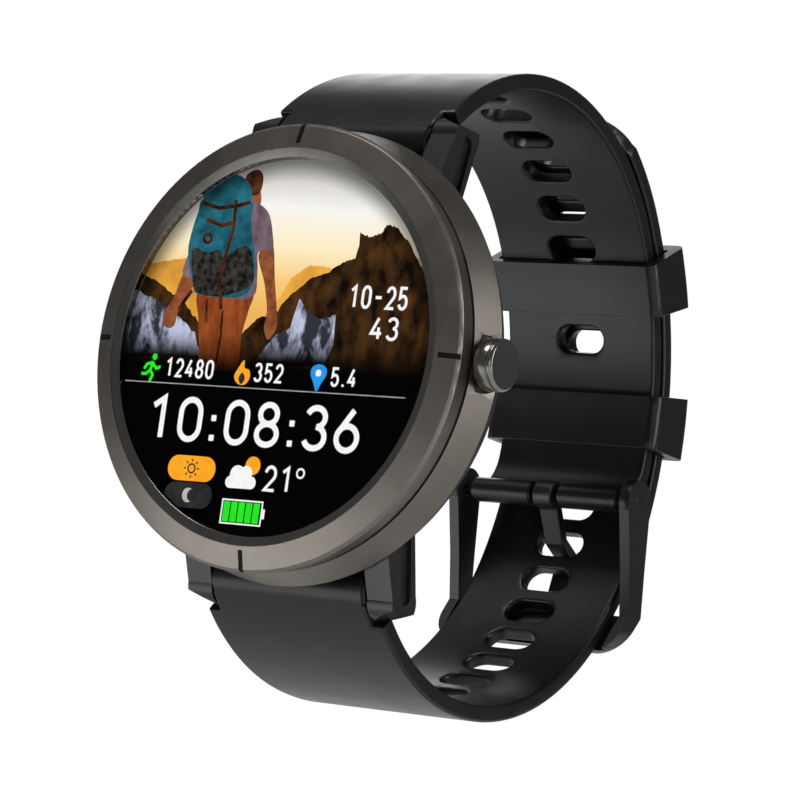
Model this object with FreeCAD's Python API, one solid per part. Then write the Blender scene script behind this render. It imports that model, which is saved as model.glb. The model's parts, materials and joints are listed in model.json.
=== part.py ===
import FreeCAD, Part
import math
import os

# Round sports watch on a buckled strap. Millimetres.
# The dial faces -Y, +X points to the crown at 3 o'clock and +Z to 12 o'clock.
# The origin is the centre of the case back's flat outer face.

V = FreeCAD.Vector

# ---------------------------------------------------------------- driving dimensions
# case, depths are measured from the bezel's front crest towards the back; past is how far
# a cutting shape runs beyond the part
case_thickness = 12.5
case_r = 23.65
bezel_crest_step = 3.2
bezel_outer_step = 0.6
bezel_edge_depth = 0.75
bezel_edge_round = 0.3
bezel_waist_step = 1.15
bezel_depth = 3.4
bezel_spigot_step = 2.25
groove_width = 0.25
groove_floor_step = 1.55
band_front_step = 1.05
band_rear_depth = 7.1
band_edge = 0.2
lower_case_step = 0.3
back_rim_step = 4.05
case_bore_step = 3.35
case_joint_step = 2.05
case_joint_height = 1.2
shoulder_in = 0.45
shoulder_drop = 1.3
skirt_in = 2.1
skirt_height = 1.5
back_rim_edge = 0.3
back_ledge_width = 1.1
back_ledge_thickness = 0.6
back_ledge_slope = 1.5
past = 60.0

# bezel marks
mark_width = 0.55
mark_depth = 0.25
mark_start = 0.4

# glass and display
trim_width = 1.0
trim_drop = 0.3
glass_gap = 0.05
glass_thickness = 1.3
glass_edge = 0.15
gasket_thickness = 0.3
seat_ledge_width = 0.55
seat_ledge_thickness = 0.5
display_gap = 0.3
display_thickness = 1.6
bracket_thickness = 0.6
bracket_window_r = 3.0
bracket_window_x = -8.0
inner_gap = 0.1

# electronics
board_gap = 1.3
board_thickness = 0.8
board_notch_back = 3.7
board_notch_half = 3.4
chip_height = 1.0
chip_places = [(155.0, 5.2, 6.0, 6.0), (190.0, 5.5, 3.0, 5.0), (49.0, 4.5, 4.0, 4.0),
               (-51.0, 4.8, 5.0, 4.0)]
antenna_side = 9.0
antenna_height = 2.2
antenna_in = 7.3
antenna_feed_r = 0.5
antenna_feed_height = 0.3
antenna_feed_x = 1.2
battery_left_in = 7.3
battery_right_in = 8.2
battery_top_gap = 0.5
battery_low_gap = 1.2
battery_back_gap = 0.2
battery_gap = 0.1
battery_corner_r = 1.5
motor_r = 4.0
motor_height = 2.8
motor_wall = 0.3
motor_x = -1.0
motor_in = 6.1
motor_shaft_r = 0.4
rotor_height = 1.6
rotor_gap = 0.25
rotor_hub_r = 1.1

# case back and sensor
back_plate_step = 1.0
back_plate_thickness = 1.2
back_seat_width = 1.3
back_gap = 0.05
sensor_r = 6.5
sensor_flange = 0.9
sensor_flange_height = 0.7
sensor_recess = 0.1
sensor_board_r = 8.0
sensor_board_thickness = 0.5
contact_r = 0.85
contact_spacing = 5.2
contact_z = -11.5
contact_depth = 2.2
screw_count = 4
screw_circle_in = 0.8
screw_head_r = 1.3
screw_head_height = 0.55
screw_shank_r = 0.7
screw_length = 3.4
screw_cross_half = 0.8
screw_cross_half_width = 0.15
screw_cross_depth = 0.3
boss_r = 1.8
boss_height = 2.4

# crown
crown_depth = 5.15
crown_r = 2.65
crown_length = 2.25
crown_floor_step = 0.95
crown_travel = 0.5
crown_lift = 0.6
crown_recess_gap = 0.25
crown_edge = 0.25
crown_line_back = 0.65
crown_line_width = 0.15
crown_line_depth = 0.12
crown_pocket_gap = 0.28
crown_pocket_depth = 1.2
stem_r = 0.8
stem_inner_step = 6.45
stem_socket = 0.5
running_gap = 0.05
tube_wall = 0.5
tube_inner_step = 0.3
stem_groove_depth = 0.3
ring_width = 0.45
ring_back = 1.3
clip_lip = 0.35
clip_thickness = 0.35
clip_mouth_half = 0.4
seat_thickness = 0.25
crown_spring_gap = 0.7
crown_spring_wire = 0.12
crown_spring_turns = 4.0
switch_width = 4.4
switch_depth = 2.0
switch_plunger_r = 0.7
switch_plunger = 0.5
switch_height = 2.7

# lugs and spring bars
lug_gap = 20.0
lug_thickness = 3.15
lug_end_r = 2.05
lug_tip_extra = 0.95
lug_tip_slant = 1.2
lug_root_drop = 8.0
lug_front_tilt = 22.7
lug_back_tilt = 14.3
case_front_past = 5.0
bar_y = -1.4
bar_step = 0.65
bar_r = 0.75
tip_r = 0.4
tip_depth = 1.3
tip_hole_depth = 1.6
pocket_width = 1.75
pocket_depth = 0.5
pocket_length = 7.5
pocket_tilt = 12.0
pocket_rise = 0.2
pin_travel = 1.0
knob_in = 2.4
pin_tail = 1.4
knob_r = 0.45
knob_proud = 0.3
bar_spring_length = 3.4
bar_spring_gap = 0.1
bar_spring_wire = 0.09
bar_spring_turns = 8.0

# strap
strap_thickness = 1.8
tail_thickness = 1.65
neck_side_gap = 0.2
neck_r = 2.7
neck_clearance = 0.3
shoulder_step = 1.3
shoulder_gap = 0.6
back_step = 0.2
taper_start_y = -1.0
taper_past_hinge = 1.0
layer_gap = 0.5
loose_hole_gap = 0.35
flex_gap = 0.3

# loop, seen along X: (y, z) centres and outer radii of its tangent arcs
back_centre_y = 9.0
back_centre_z = 0.8
back_r = 38.45
upper_corner_r = 28.0
upper_corner_angle = 33.0
upper_neck_angle = 112.0
lower_corner_r = 31.4
lower_corner_angle = -24.0
lower_neck_angle = -100.0
flex_angle = 78.0
tail_end_angle = 66.0
tail_tip_r = 6.0
tail_tip_waste = 3.0

# strap slots
slot_length = 6.0
slot_width = 3.2
short_slot_pitch = 5.5
short_slot_count = 8
short_slot_start = 25.1
long_slot_pitch = 4.9
long_slot_count = 17
long_slot_angle = -20.1
long_slots_forward = 6

# keepers
keeper_width = 6.4
keeper_gap = 0.3
keeper_side = 1.3
keeper_outer = 1.7
keeper_inner = 1.05
keeper_corner = 1.2
keeper_upper_angle = 25.3
keeper_lower_angle = 1.5

# buckle
hinge_inset = 4.42222
hinge_angle = -14.11788
strap_end_r = 1.4
strap_end_angle = -6.0
buckle_pin_r = 0.65
arm_gap = 1.05
arm_thickness = 1.25
eye_r = 2.35
arm_waist = 3.2
arm_bow = 0.55
arm_top_in = 1.16
arm_foot_in = 0.8
buckle_length = 14.8
far_bar_thickness = 1.4
far_bar_length = 4.2
far_bar_gap = 0.35
far_bar_taper = 0.28
far_bar_lip = 0.3
buckle_corner_r = 3.0
tang_width = 2.4
tang_thickness = 1.1
tang_ring_r = 1.6
tang_notch = 3.7
tang_rest_gap = 0.15
tang_slot_in = (-0.7, 0.1)
tang_slot_out = (2.2, -1.6)
tang_bar_rise = 0.25
tang_end_rise = 0.1

# ---------------------------------------------------------------- derived places
bezel_crest_r = case_r - bezel_crest_step
bezel_outer_r = case_r - bezel_outer_step
bezel_waist_r = case_r - bezel_waist_step
bezel_spigot_r = case_r - bezel_spigot_step
groove_floor_r = case_r - groove_floor_step
band_front_r = case_r - band_front_step
lower_case_r = case_r - lower_case_step
back_rim_r = case_r - back_rim_step
case_bore_r = case_r - case_bore_step
case_joint_r = case_r - case_joint_step
back_plate_r = back_rim_r - back_plate_step
back_seat_r = back_plate_r - back_seat_width
screw_circle_r = back_seat_r - screw_circle_in
crest_y = -case_thickness
groove_y = crest_y + bezel_depth
band_rear_y = crest_y + band_rear_depth
glass_top_y = crest_y + trim_drop
glass_bottom_y = glass_top_y + glass_thickness
ledge_y = glass_bottom_y + gasket_thickness
display_back_y = glass_bottom_y + display_thickness
bracket_back_y = display_back_y + bracket_thickness
board_back_y = bracket_back_y + board_thickness
crown_y = crest_y + crown_depth
glass_r = bezel_crest_r - trim_width
seat_ledge_r = glass_r - seat_ledge_width
display_r = seat_ledge_r - display_gap
board_r = case_bore_r - board_gap
antenna_z = case_bore_r - antenna_in
motor_z = motor_in - case_bore_r
sensor_front_y = -back_plate_thickness - sensor_flange_height - sensor_board_thickness
battery_front_y = board_back_y + chip_height + battery_gap
battery_back_y = sensor_front_y - battery_back_gap
tube_bore_r = stem_r + running_gap
tube_inner_x = case_bore_r - tube_inner_step
stem_inner_x = case_r - stem_inner_step
stem_groove_r = stem_r - stem_groove_depth
clip_r = tube_bore_r + clip_lip
board_notch_x = stem_inner_x - board_notch_back
crown_floor_x = case_r - crown_floor_step
crown_spring_r = stem_r + crown_spring_gap
crown_pocket_r = crown_spring_r + crown_spring_wire + crown_pocket_gap
ring_x = crown_floor_x - ring_back
crown_inner_x = crown_floor_x + crown_lift
crown_face_x = crown_inner_x + crown_length
back_inner_r = back_r - strap_thickness
tail_inner_r = back_r + layer_gap
tail_r = tail_inner_r + tail_thickness
tip_x = lug_gap / 2 + tip_depth
bar_z = case_r - bar_step
lug_root_z = bar_z - lug_root_drop
neck_width = lug_gap - 2 * neck_side_gap
shoulder_width = lug_gap + 2 * shoulder_step
back_width = lug_gap - 2 * back_step
shoulder_r = lug_tip_extra + lug_end_r + shoulder_gap
knob_x = neck_width / 2 - knob_in
knob_reach = neck_r + knob_proud
pin_inner_x = knob_x - pin_tail
bar_spring_x = pin_inner_x - bar_spring_length
bar_spring_r = tip_r - bar_spring_gap
arm_inner_x = back_width / 2 + arm_gap


# ---------------------------------------------------------------- small tools
def export(shape, node):
    """Writes one clean shape to parts/NODE.step."""
    os.makedirs("parts", exist_ok=True)
    solids = shape.Solids
    out = solids[0] if len(solids) == 1 else Part.Compound(solids)
    out.exportStep("parts/" + node + ".step")
    print("%-24s %d solid(s) %10.3f mm3" % (node, len(solids), out.Volume))


def ring(points):
    """Turns a closed (radius, y) outline about the watch's axis."""
    corners = [V(r, y, 0) for r, y in points]
    face = Part.Face(Part.makePolygon(corners + [corners[0]]))
    return face.revolve(V(0, 0, 0), V(0, 1, 0), 360)


def disc(radius, y_front, y_back, x=0.0, z=0.0):
    """Round plate whose axis is parallel to the watch's."""
    return Part.makeCylinder(radius, y_back - y_front, V(x, y_front, z), V(0, 1, 0))


def rod(radius, x_start, x_end, y=0.0, z=0.0):
    """Round bar along X."""
    return Part.makeCylinder(radius, x_end - x_start, V(x_start, y, z), V(1, 0, 0))


def block(x0, x1, y0, y1, z0, z1):
    """Box between two corners."""
    return Part.makeBox(x1 - x0, y1 - y0, z1 - z0, V(x0, y0, z0))


def spoke(centre, radius, degrees):
    """Point at an angle from +Y towards +Z about a (y, z) centre."""
    turn = math.radians(degrees)
    return (centre[0] + radius * math.cos(turn), centre[1] + radius * math.sin(turn))


def side_point(point, x=0.0):
    """Puts a (y, z) point at x."""
    return V(x, point[0], point[1])


def side_plate(points, half_width):
    """Straight-edged (y, z) outline, pushed out along X to both sides."""
    corners = [side_point(p, -half_width) for p in points]
    face = Part.Face(Part.makePolygon(corners + [corners[0]]))
    return face.extrude(V(2 * half_width, 0, 0))


def coil(radius, wire, turns, x_start, x_end, y, z):
    """Spring along X, between its two end faces."""
    height = x_end - x_start - 2 * wire
    helix = Part.makeHelix(height / turns, height, radius)
    section = Part.Wire(Part.makeCircle(wire, V(radius, 0, 0), V(0, 1, 0)))
    spring = Part.Wire(helix.Edges).makePipeShell([section], True, True)
    spring.rotate(V(0, 0, 0), V(0, 1, 0), 90)
    spring.translate(V(x_start + wire, y, z))
    return spring


def joined(first, *others):
    """One solid of several that touch."""
    return first.multiFuse(list(others)).removeSplitter()


# ---------------------------------------------------------------- the loop's route
class Arc:
    """One arc of the strap's outer face, seen along X."""

    def __init__(self, centre, radius, start, end):
        self.centre = centre
        self.radius = radius
        self.start = start
        self.end = end


def inner_arc(parent, radius, start, end):
    """Smaller arc that leaves its parent tangentially at the angle start."""
    return Arc(spoke(parent.centre, parent.radius - radius, start), radius, start, end)


def closing_arc(parent, start, target, target_r):
    """Arc from its parent at start to where it touches a circle from outside."""
    unit = spoke((0.0, 0.0), 1.0, start)
    away = (parent.centre[0] - target[0], parent.centre[1] - target[1])
    reach = parent.radius - target_r
    along = away[0] * unit[0] + away[1] * unit[1]
    shift = (reach ** 2 - away[0] ** 2 - away[1] ** 2) / (2 * (along + reach))
    centre = spoke(parent.centre, shift, start)
    end = math.degrees(math.atan2(target[1] - centre[1], target[0] - centre[0]))
    return Arc(centre, parent.radius - shift, start, end)


def arc_edge(arc, depth, reverse, x):
    """Edge of the arc, a depth below its outer face."""
    angles = [arc.start, (arc.start + arc.end) / 2, arc.end]
    if reverse:
        angles.reverse()
    points = [side_point(spoke(arc.centre, arc.radius - depth, a), x) for a in angles]
    return Part.Arc(*points).toShape()


def band(arcs, thickness, half_width):
    """Strap of constant thickness along a row of tangent arcs."""
    x = -half_width
    outer = [arc_edge(a, 0.0, False, x) for a in arcs]
    inner = [arc_edge(a, thickness, True, x) for a in reversed(arcs)]
    last = arcs[-1]
    first = arcs[0]
    tail = Part.makeLine(
        side_point(spoke(last.centre, last.radius, last.end), x),
        side_point(spoke(last.centre, last.radius - thickness, last.end), x))
    head = Part.makeLine(
        side_point(spoke(first.centre, first.radius - thickness, first.start), x),
        side_point(spoke(first.centre, first.radius, first.start), x))
    outline = Part.Wire(outer + [tail] + inner + [head])
    return Part.Face(outline).extrude(V(2 * half_width, 0, 0))


def stadium_cutter(arc, angle, length, width, depth):
    """Long slot across the strap, cut along the radius at one angle."""
    straight = length - width
    middle = Part.makeBox(straight, width, depth, V(-straight / 2, -width / 2, -depth / 2))
    ends = [
        Part.makeCylinder(width / 2, depth, V(s * straight / 2, 0, -depth / 2))
        for s in (-1, 1)
    ]
    cutter = joined(middle, *ends)
    return place_on(cutter, arc, angle)


def place_on(shape, arc, angle):
    """Moves a shape made about the origin, Z up, to the arc at one angle."""
    shape.rotate(V(0, 0, 0), V(1, 0, 0), angle - 90)
    shape.translate(side_point(spoke(arc.centre, arc.radius, angle)))
    return shape


def walk(arcs, start_index, start_angle, length):
    """Arc and angle that lie a length further along a row of arcs."""
    index = start_index
    angle = start_angle
    left = length
    while True:
        arc = arcs[index]
        sense = 1 if arc.end > arc.start else -1
        room = math.radians(abs(arc.end - angle)) * arc.radius
        if left <= room or index == len(arcs) - 1:
            return arc, angle + sense * math.degrees(left / arc.radius)
        left -= room
        index += 1
        angle = arcs[index].start


upper_bar = (bar_y, bar_z)
lower_bar = (bar_y, -bar_z)
back_centre = (back_centre_y, back_centre_z)
hinge = spoke(back_centre, back_r - hinge_inset, hinge_angle)
hinge_y, hinge_z = hinge
taper_end_y = hinge_y + taper_past_hinge
far_bar_z = hinge_z - buckle_length

# short strap: outer face of the inner layer
back_arc = Arc(back_centre, back_r, strap_end_angle, upper_corner_angle)
upper_corner = inner_arc(back_arc, upper_corner_r, upper_corner_angle, upper_neck_angle)
upper_neck = closing_arc(upper_corner, upper_neck_angle, upper_bar, neck_r)
strap_end = closing_arc(back_arc, strap_end_angle, hinge, strap_end_r)

# long strap: outer face of the outer layer
tail_arc = Arc(back_centre, tail_r, lower_corner_angle, upper_corner_angle)
tail_corner_r = upper_corner_r + layer_gap + tail_thickness
tail_corner = inner_arc(tail_arc, tail_corner_r, upper_corner_angle, tail_end_angle)
lower_corner = inner_arc(tail_arc, lower_corner_r, lower_corner_angle, lower_neck_angle)
lower_neck = closing_arc(lower_corner, lower_neck_angle, lower_bar, neck_r)


# ---------------------------------------------------------------- case shells
def bezel_blank():
    """Bezel before its marks are cut."""
    edge_y = crest_y + bezel_edge_depth
    return ring([
        (bezel_crest_r, crest_y),
        (bezel_outer_r - bezel_edge_round, edge_y - bezel_edge_round / 4),
        (bezel_outer_r, edge_y + bezel_edge_round),
        (bezel_waist_r, groove_y),
        (bezel_spigot_r, groove_y),
        (bezel_spigot_r, ledge_y),
        (bezel_crest_r, ledge_y),
    ])


def mark_blanks():
    """Skin of the bezel's front where the four marks lie."""
    blank = bezel_blank()
    below = blank.copy()
    below.translate(V(0, mark_depth, 0))
    skin = blank.cut(below)
    start = bezel_crest_r + mark_start
    marks = []
    for quarter in range(4):
        box = block(start, bezel_outer_r + 1, crest_y - 1, crest_y + bezel_edge_depth + mark_depth,
                    -mark_width / 2, mark_width / 2)
        box.rotate(V(0, 0, 0), V(0, 1, 0), 90 * quarter)
        marks.append(skin.common(box))
    return marks


def bezel_marks():
    return Part.Compound([s for m in mark_blanks() for s in m.Solids])


def bezel_ring():
    bezel = bezel_blank()
    for mark in mark_blanks():
        bezel = bezel.cut(mark)
    return bezel


def glass_trim_ring():
    """Dark sloping ring between the bezel's crest and the glass."""
    return ring([
        (glass_r, ledge_y),
        (bezel_crest_r, ledge_y),
        (bezel_crest_r, crest_y + glass_gap),
        (glass_r, glass_top_y),
    ])


def crown_recess():
    """Flat-floored pocket that the crown sinks into."""
    return rod(crown_r + crown_recess_gap, crown_floor_x, crown_face_x, crown_y)


def tube_hole():
    """Hole that the crown tube is pressed into."""
    return rod(tube_bore_r + tube_wall, case_bore_r - 2, crown_face_x, crown_y)


def mid_case():
    """Metal band with the glass ledge inside and the crown tube's hole."""
    shell = ring([
        (seat_ledge_r, ledge_y),
        (bezel_spigot_r, ledge_y),
        (bezel_spigot_r, groove_y),
        (groove_floor_r, groove_y),
        (groove_floor_r, groove_y + groove_width),
        (band_front_r, groove_y + groove_width),
        (case_r, band_rear_y - band_edge),
        (case_r - band_edge, band_rear_y),
        (case_joint_r, band_rear_y),
        (case_joint_r, band_rear_y - case_joint_height),
        (case_bore_r, band_rear_y - case_joint_height),
        (case_bore_r, ledge_y + seat_ledge_thickness),
        (seat_ledge_r, ledge_y + seat_ledge_thickness),
    ])
    return shell.cut(crown_recess()).cut(tube_hole())


def lug_outline(end):
    """Side outline of a lug with a round end at a (y, z) place."""
    back_side = math.tan(math.radians(lug_back_tilt))
    front_side = math.tan(math.radians(lug_front_tilt))
    drop = end[1] - lug_root_z
    front_root = (end[0] - lug_end_r - front_side * drop, lug_root_z)
    back_root = (end[0] + lug_end_r - back_side * drop, lug_root_z)
    return [front_root, (end[0] - lug_end_r, end[1]), (end[0] + lug_end_r, end[1]), back_root]


def lug(side, top):
    """One lug: side is -1 or 1 along X, top is 1 at 12 o'clock and -1 at 6 o'clock."""
    end = (bar_y, bar_z + lug_tip_extra)
    half = lug_thickness / 2
    centre_x = side * (lug_gap / 2 + half)
    blade = side_plate(lug_outline(end), half)
    blade = blade.fuse(rod(lug_end_r, -half, half, end[0], end[1]))
    blade.translate(V(centre_x, 0, 0))
    tip_z = end[1] + lug_end_r
    inner_x = side * lug_gap / 2
    outer_x = inner_x + side * lug_thickness
    slant = [V(inner_x, -past, tip_z), V(outer_x, -past, tip_z - lug_tip_slant),
             V(outer_x + side, -past, tip_z - lug_tip_slant), V(outer_x + side, -past, tip_z + past),
             V(inner_x, -past, tip_z + past)]
    blade = blade.cut(Part.Face(Part.makePolygon(slant + [slant[0]])).extrude(V(0, 2 * past, 0)))
    blade = blade.cut(disc(past, -past, band_rear_y))
    blade = blade.cut(lug_pocket(side))
    blade = blade.cut(rod(tip_r + running_gap, -lug_gap / 2 - tip_hole_depth,
                          lug_gap / 2 + tip_hole_depth, bar_y, bar_z))
    if top < 0:
        blade = blade.mirror(V(0, 0, 0), V(0, 0, 1))
    return blade


def lug_pocket(side):
    """Pill-shaped recess down the outer face of a lug."""
    radius = pocket_width / 2
    outer_x = side * (lug_gap / 2 + lug_thickness)
    start_x = min(outer_x - side * pocket_depth, outer_x + side)
    ends = [(bar_y, bar_z + pocket_rise)]
    ends.append(spoke(ends[0], pocket_length, -90 - pocket_tilt))
    depth = pocket_depth + 1
    caps = [Part.makeCylinder(radius, depth, side_point(e, start_x), V(1, 0, 0)) for e in ends]
    middle = Part.makeBox(depth, pocket_width, pocket_length, V(0, -radius, -pocket_length))
    middle.rotate(V(0, 0, 0), V(1, 0, 0), -pocket_tilt)
    middle.translate(side_point(ends[0], start_x))
    return joined(middle, *caps)


def screw_places():
    """Centres of the case back screws, in (x, z)."""
    step = 360 / screw_count
    return [spoke((0, 0), screw_circle_r, step / 2 + step * i) for i in range(screw_count)]


def lower_case():
    """Moulded tub with four lugs, screw bosses and the case back's seat."""
    seat_y = -back_plate_thickness - gasket_thickness
    wall_y = seat_y - back_ledge_thickness
    ledge_r = case_bore_r - back_ledge_width
    slope_y = wall_y - back_ledge_slope
    front_y = band_rear_y - case_front_past
    shell = ring([
        (case_bore_r, band_rear_y - case_joint_height),
        (case_joint_r, band_rear_y - case_joint_height),
        (case_joint_r, band_rear_y),
        (lower_case_r, band_rear_y),
        (lower_case_r - shoulder_in, band_rear_y + shoulder_drop),
        (lower_case_r - skirt_in, -skirt_height),
        (back_rim_r + back_rim_edge, -back_rim_edge),
        (back_rim_r, 0),
        (back_plate_r + back_gap, 0),
        (back_plate_r + back_gap, seat_y),
        (back_seat_r, seat_y),
        (back_seat_r, wall_y),
        (ledge_r, wall_y),
        (case_bore_r, slope_y),
    ])
    for side in (-1, 1):
        for top in (-1, 1):
            shell = shell.fuse(lug(side, top))
    shell = shell.cut(ring([
        (0, front_y), (case_bore_r, front_y), (case_bore_r, slope_y), (ledge_r, wall_y),
        (back_seat_r, wall_y), (back_seat_r, seat_y), (back_plate_r + back_gap, seat_y),
        (back_plate_r + back_gap, 0), (0, 0)]))
    for x, z in screw_places():
        shell = shell.fuse(disc(boss_r, seat_y - boss_height, seat_y, x, z))
    for x, z in screw_places():
        shell = shell.cut(disc(screw_shank_r, seat_y - boss_height, 0, x, z))
    neck_half = lug_gap / 2
    for z in (-bar_z, bar_z):
        shell = shell.cut(rod(neck_r + neck_clearance, -neck_half, neck_half, bar_y, z))
    return shell.cut(crown_recess()).cut(tube_hole()).removeSplitter()


def back_holes():
    """Everything that passes through the case back."""
    tools = [disc(sensor_r, -back_plate_thickness, 0)]
    for x, z in screw_places():
        tools.append(disc(screw_shank_r + inner_gap, -back_plate_thickness, 0, x, z))
        tools.append(disc(screw_head_r + inner_gap, -screw_head_height - inner_gap, 0, x, z))
    for side in (-1, 1):
        tools.append(disc(contact_r, -back_plate_thickness, 0, side * contact_spacing / 2, contact_z))
    return tools


def case_back():
    plate = disc(back_plate_r, -back_plate_thickness, 0)
    return plate.cut(back_holes())


def case_back_gasket():
    seat_y = -back_plate_thickness - gasket_thickness
    gasket = ring([
        (back_seat_r, seat_y),
        (back_plate_r, seat_y),
        (back_plate_r, -back_plate_thickness),
        (back_seat_r, -back_plate_thickness),
    ])
    for x, z in screw_places():
        gasket = gasket.cut(disc(screw_shank_r + inner_gap, seat_y, 0, x, z))
    return gasket


def case_back_screws():
    """Flat-headed screws with a cross slot, flush with the case back."""
    screws = []
    for x, z in screw_places():
        head = disc(screw_head_r, -screw_head_height - inner_gap, -inner_gap, x, z)
        shank = disc(screw_shank_r, -screw_length, -inner_gap, x, z)
        screw = head.fuse(shank)
        arms = (screw_cross_half, screw_cross_half_width)
        for half_x, half_z in (arms, arms[::-1]):
            screw = screw.cut(block(x - half_x, x + half_x, -inner_gap - screw_cross_depth, 0,
                                    z - half_z, z + half_z))
        screws.append(screw)
    return Part.Compound(screws)


def sensor_window():
    front_y = -back_plate_thickness - sensor_flange_height
    return ring([
        (0, front_y),
        (sensor_r + sensor_flange, front_y),
        (sensor_r + sensor_flange, -back_plate_thickness),
        (sensor_r, -back_plate_thickness),
        (sensor_r, -sensor_recess),
        (0, -sensor_recess),
    ])


def sensor_board():
    """Small board with its light emitter and two detectors facing the wrist."""
    back_y = -back_plate_thickness - sensor_flange_height
    return disc(sensor_board_r, back_y - sensor_board_thickness, back_y)


def charge_contacts():
    pins = []
    for side in (-1, 1):
        pins.append(disc(contact_r, -contact_depth, -inner_gap, side * contact_spacing / 2, contact_z))
    return Part.Compound(pins)


# ---------------------------------------------------------------- glass, display and electronics
def cover_glass():
    return ring([
        (0, glass_top_y),
        (glass_r - glass_edge, glass_top_y),
        (glass_r, glass_top_y + glass_edge),
        (glass_r, glass_bottom_y),
        (0, glass_bottom_y),
    ])


def glass_gasket():
    return ring([
        (seat_ledge_r, glass_bottom_y),
        (glass_r, glass_bottom_y),
        (glass_r, ledge_y),
        (seat_ledge_r, ledge_y),
    ])


def display_module():
    return disc(display_r, glass_bottom_y, display_back_y)


def display_bracket():
    """Stiff plate that carries the display and the main board."""
    plate = disc(case_bore_r - running_gap, display_back_y, bracket_back_y)
    window = disc(bracket_window_r, display_back_y, bracket_back_y, bracket_window_x)
    return plate.cut(window)


def main_board():
    board = disc(board_r, bracket_back_y, board_back_y)
    return board.cut(block(board_notch_x, board_r + 1, bracket_back_y, board_back_y,
                           -board_notch_half, board_notch_half))


def board_chips():
    """Processor, memory, motion sensor and radio: (angle, distance in from the edge, sizes)."""
    chips = []
    for angle, inset, width, depth in chip_places:
        x, z = spoke((0, 0), board_r - inset, angle)
        chips.append(block(x - width / 2, x + width / 2, board_back_y, board_back_y + chip_height,
                           z - depth / 2, z + depth / 2))
    return Part.Compound(chips)


def gps_antenna():
    half = antenna_side / 2
    patch = block(-half, half, board_back_y, board_back_y + antenna_height,
                  antenna_z - half, antenna_z + half)
    back_y = board_back_y + antenna_height
    feed = disc(antenna_feed_r, back_y, back_y + antenna_feed_height, antenna_feed_x, antenna_z)
    return patch.fuse(feed)


def battery():
    left_x = battery_left_in - case_bore_r
    right_x = stem_inner_x - battery_right_in
    low_z = motor_z + motor_r + battery_low_gap
    top_z = antenna_z - antenna_side / 2 - battery_top_gap
    cell = block(left_x, right_x, battery_front_y, battery_back_y, low_z, top_z)
    corners = [e for e in cell.Edges if abs(e.tangentAt(e.FirstParameter).y) > 0.9]
    return cell.makeFillet(battery_corner_r, corners)


def vibration_motor():
    """Can of the coin motor, with its fixed shaft."""
    back_y = board_back_y + motor_height
    can = disc(motor_r, board_back_y, back_y, motor_x, motor_z)
    hollow = disc(motor_r - motor_wall, board_back_y + motor_wall, back_y - motor_wall,
                  motor_x, motor_z)
    shaft = disc(motor_shaft_r, board_back_y + motor_wall, back_y - motor_wall, motor_x, motor_z)
    return can.cut(hollow).fuse(shaft)


def motor_rotor():
    """Half-round weight that spins on the motor's shaft."""
    middle_y = board_back_y + motor_height / 2
    outer_r = motor_r - motor_wall - rotor_gap
    front_y = middle_y - rotor_height / 2
    back_y = middle_y + rotor_height / 2
    weight = disc(outer_r, front_y, back_y, motor_x, motor_z)
    weight = weight.cut(block(motor_x - motor_r, motor_x + motor_r, front_y, back_y,
                              motor_z, motor_z + motor_r))
    hub = disc(rotor_hub_r, front_y, back_y, motor_x, motor_z)
    bore = disc(motor_shaft_r + running_gap, front_y, back_y, motor_x, motor_z)
    return weight.fuse(hub).cut(bore)


# ---------------------------------------------------------------- crown
def crown_tube():
    outer = rod(tube_bore_r + tube_wall, tube_inner_x, crown_floor_x, crown_y)
    return outer.cut(rod(tube_bore_r, tube_inner_x, crown_floor_x, crown_y))


def crown_cap():
    """Plain round crown with a spring pocket in its underside."""
    cap = rod(crown_r, crown_inner_x, crown_face_x, crown_y)
    rims = [e for e in cap.Edges if e.Curve.TypeId == "Part::GeomCircle"]
    cap = cap.makeChamfer(crown_edge, rims)
    line_x = crown_face_x - crown_line_back
    line = rod(crown_r, line_x, line_x + crown_line_width, crown_y)
    line = line.cut(rod(crown_r - crown_line_depth, line_x, line_x + crown_line_width, crown_y))
    cap = cap.cut(line)
    cap = cap.cut(rod(crown_pocket_r, crown_inner_x, crown_inner_x + crown_pocket_depth, crown_y))
    return cap.cut(rod(stem_r, crown_inner_x, stem_outer_x(), crown_y))


def stem_outer_x():
    return crown_inner_x + crown_pocket_depth + stem_socket


def stem_groove(x_start, width):
    return rod(stem_r + 1, x_start, x_start + width, crown_y).cut(
        rod(stem_groove_r, x_start, x_start + width, crown_y))


def clip_x():
    return tube_inner_x - inner_gap - clip_thickness


def crown_stem():
    stem = rod(stem_r, stem_inner_x, stem_outer_x(), crown_y)
    stem = stem.cut(stem_groove(ring_x, ring_width))
    return stem.cut(stem_groove(clip_x(), clip_thickness))


def crown_o_ring():
    outer = rod(tube_bore_r - running_gap / 2, ring_x, ring_x + ring_width, crown_y)
    return outer.cut(rod(stem_groove_r, ring_x, ring_x + ring_width, crown_y))


def crown_clip():
    """Open clip that holds the stem in its tube."""
    clip = rod(clip_r, clip_x(), clip_x() + clip_thickness, crown_y)
    clip = clip.cut(rod(stem_groove_r, clip_x(), clip_x() + clip_thickness, crown_y))
    return clip.cut(block(clip_x(), clip_x() + clip_thickness, crown_y - clip_r, crown_y,
                          -clip_mouth_half, clip_mouth_half))


def spring_seat_x():
    return crown_inner_x + crown_pocket_depth - running_gap - seat_thickness


def crown_spring_seat():
    """Washer between the turning crown and its spring."""
    start = spring_seat_x()
    washer = rod(crown_pocket_r - running_gap, start, start + seat_thickness, crown_y)
    return washer.cut(rod(tube_bore_r, start, start + seat_thickness, crown_y))


def crown_spring():
    return coil(crown_spring_r, crown_spring_wire, crown_spring_turns,
                crown_floor_x, spring_seat_x(), crown_y, 0)


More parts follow.
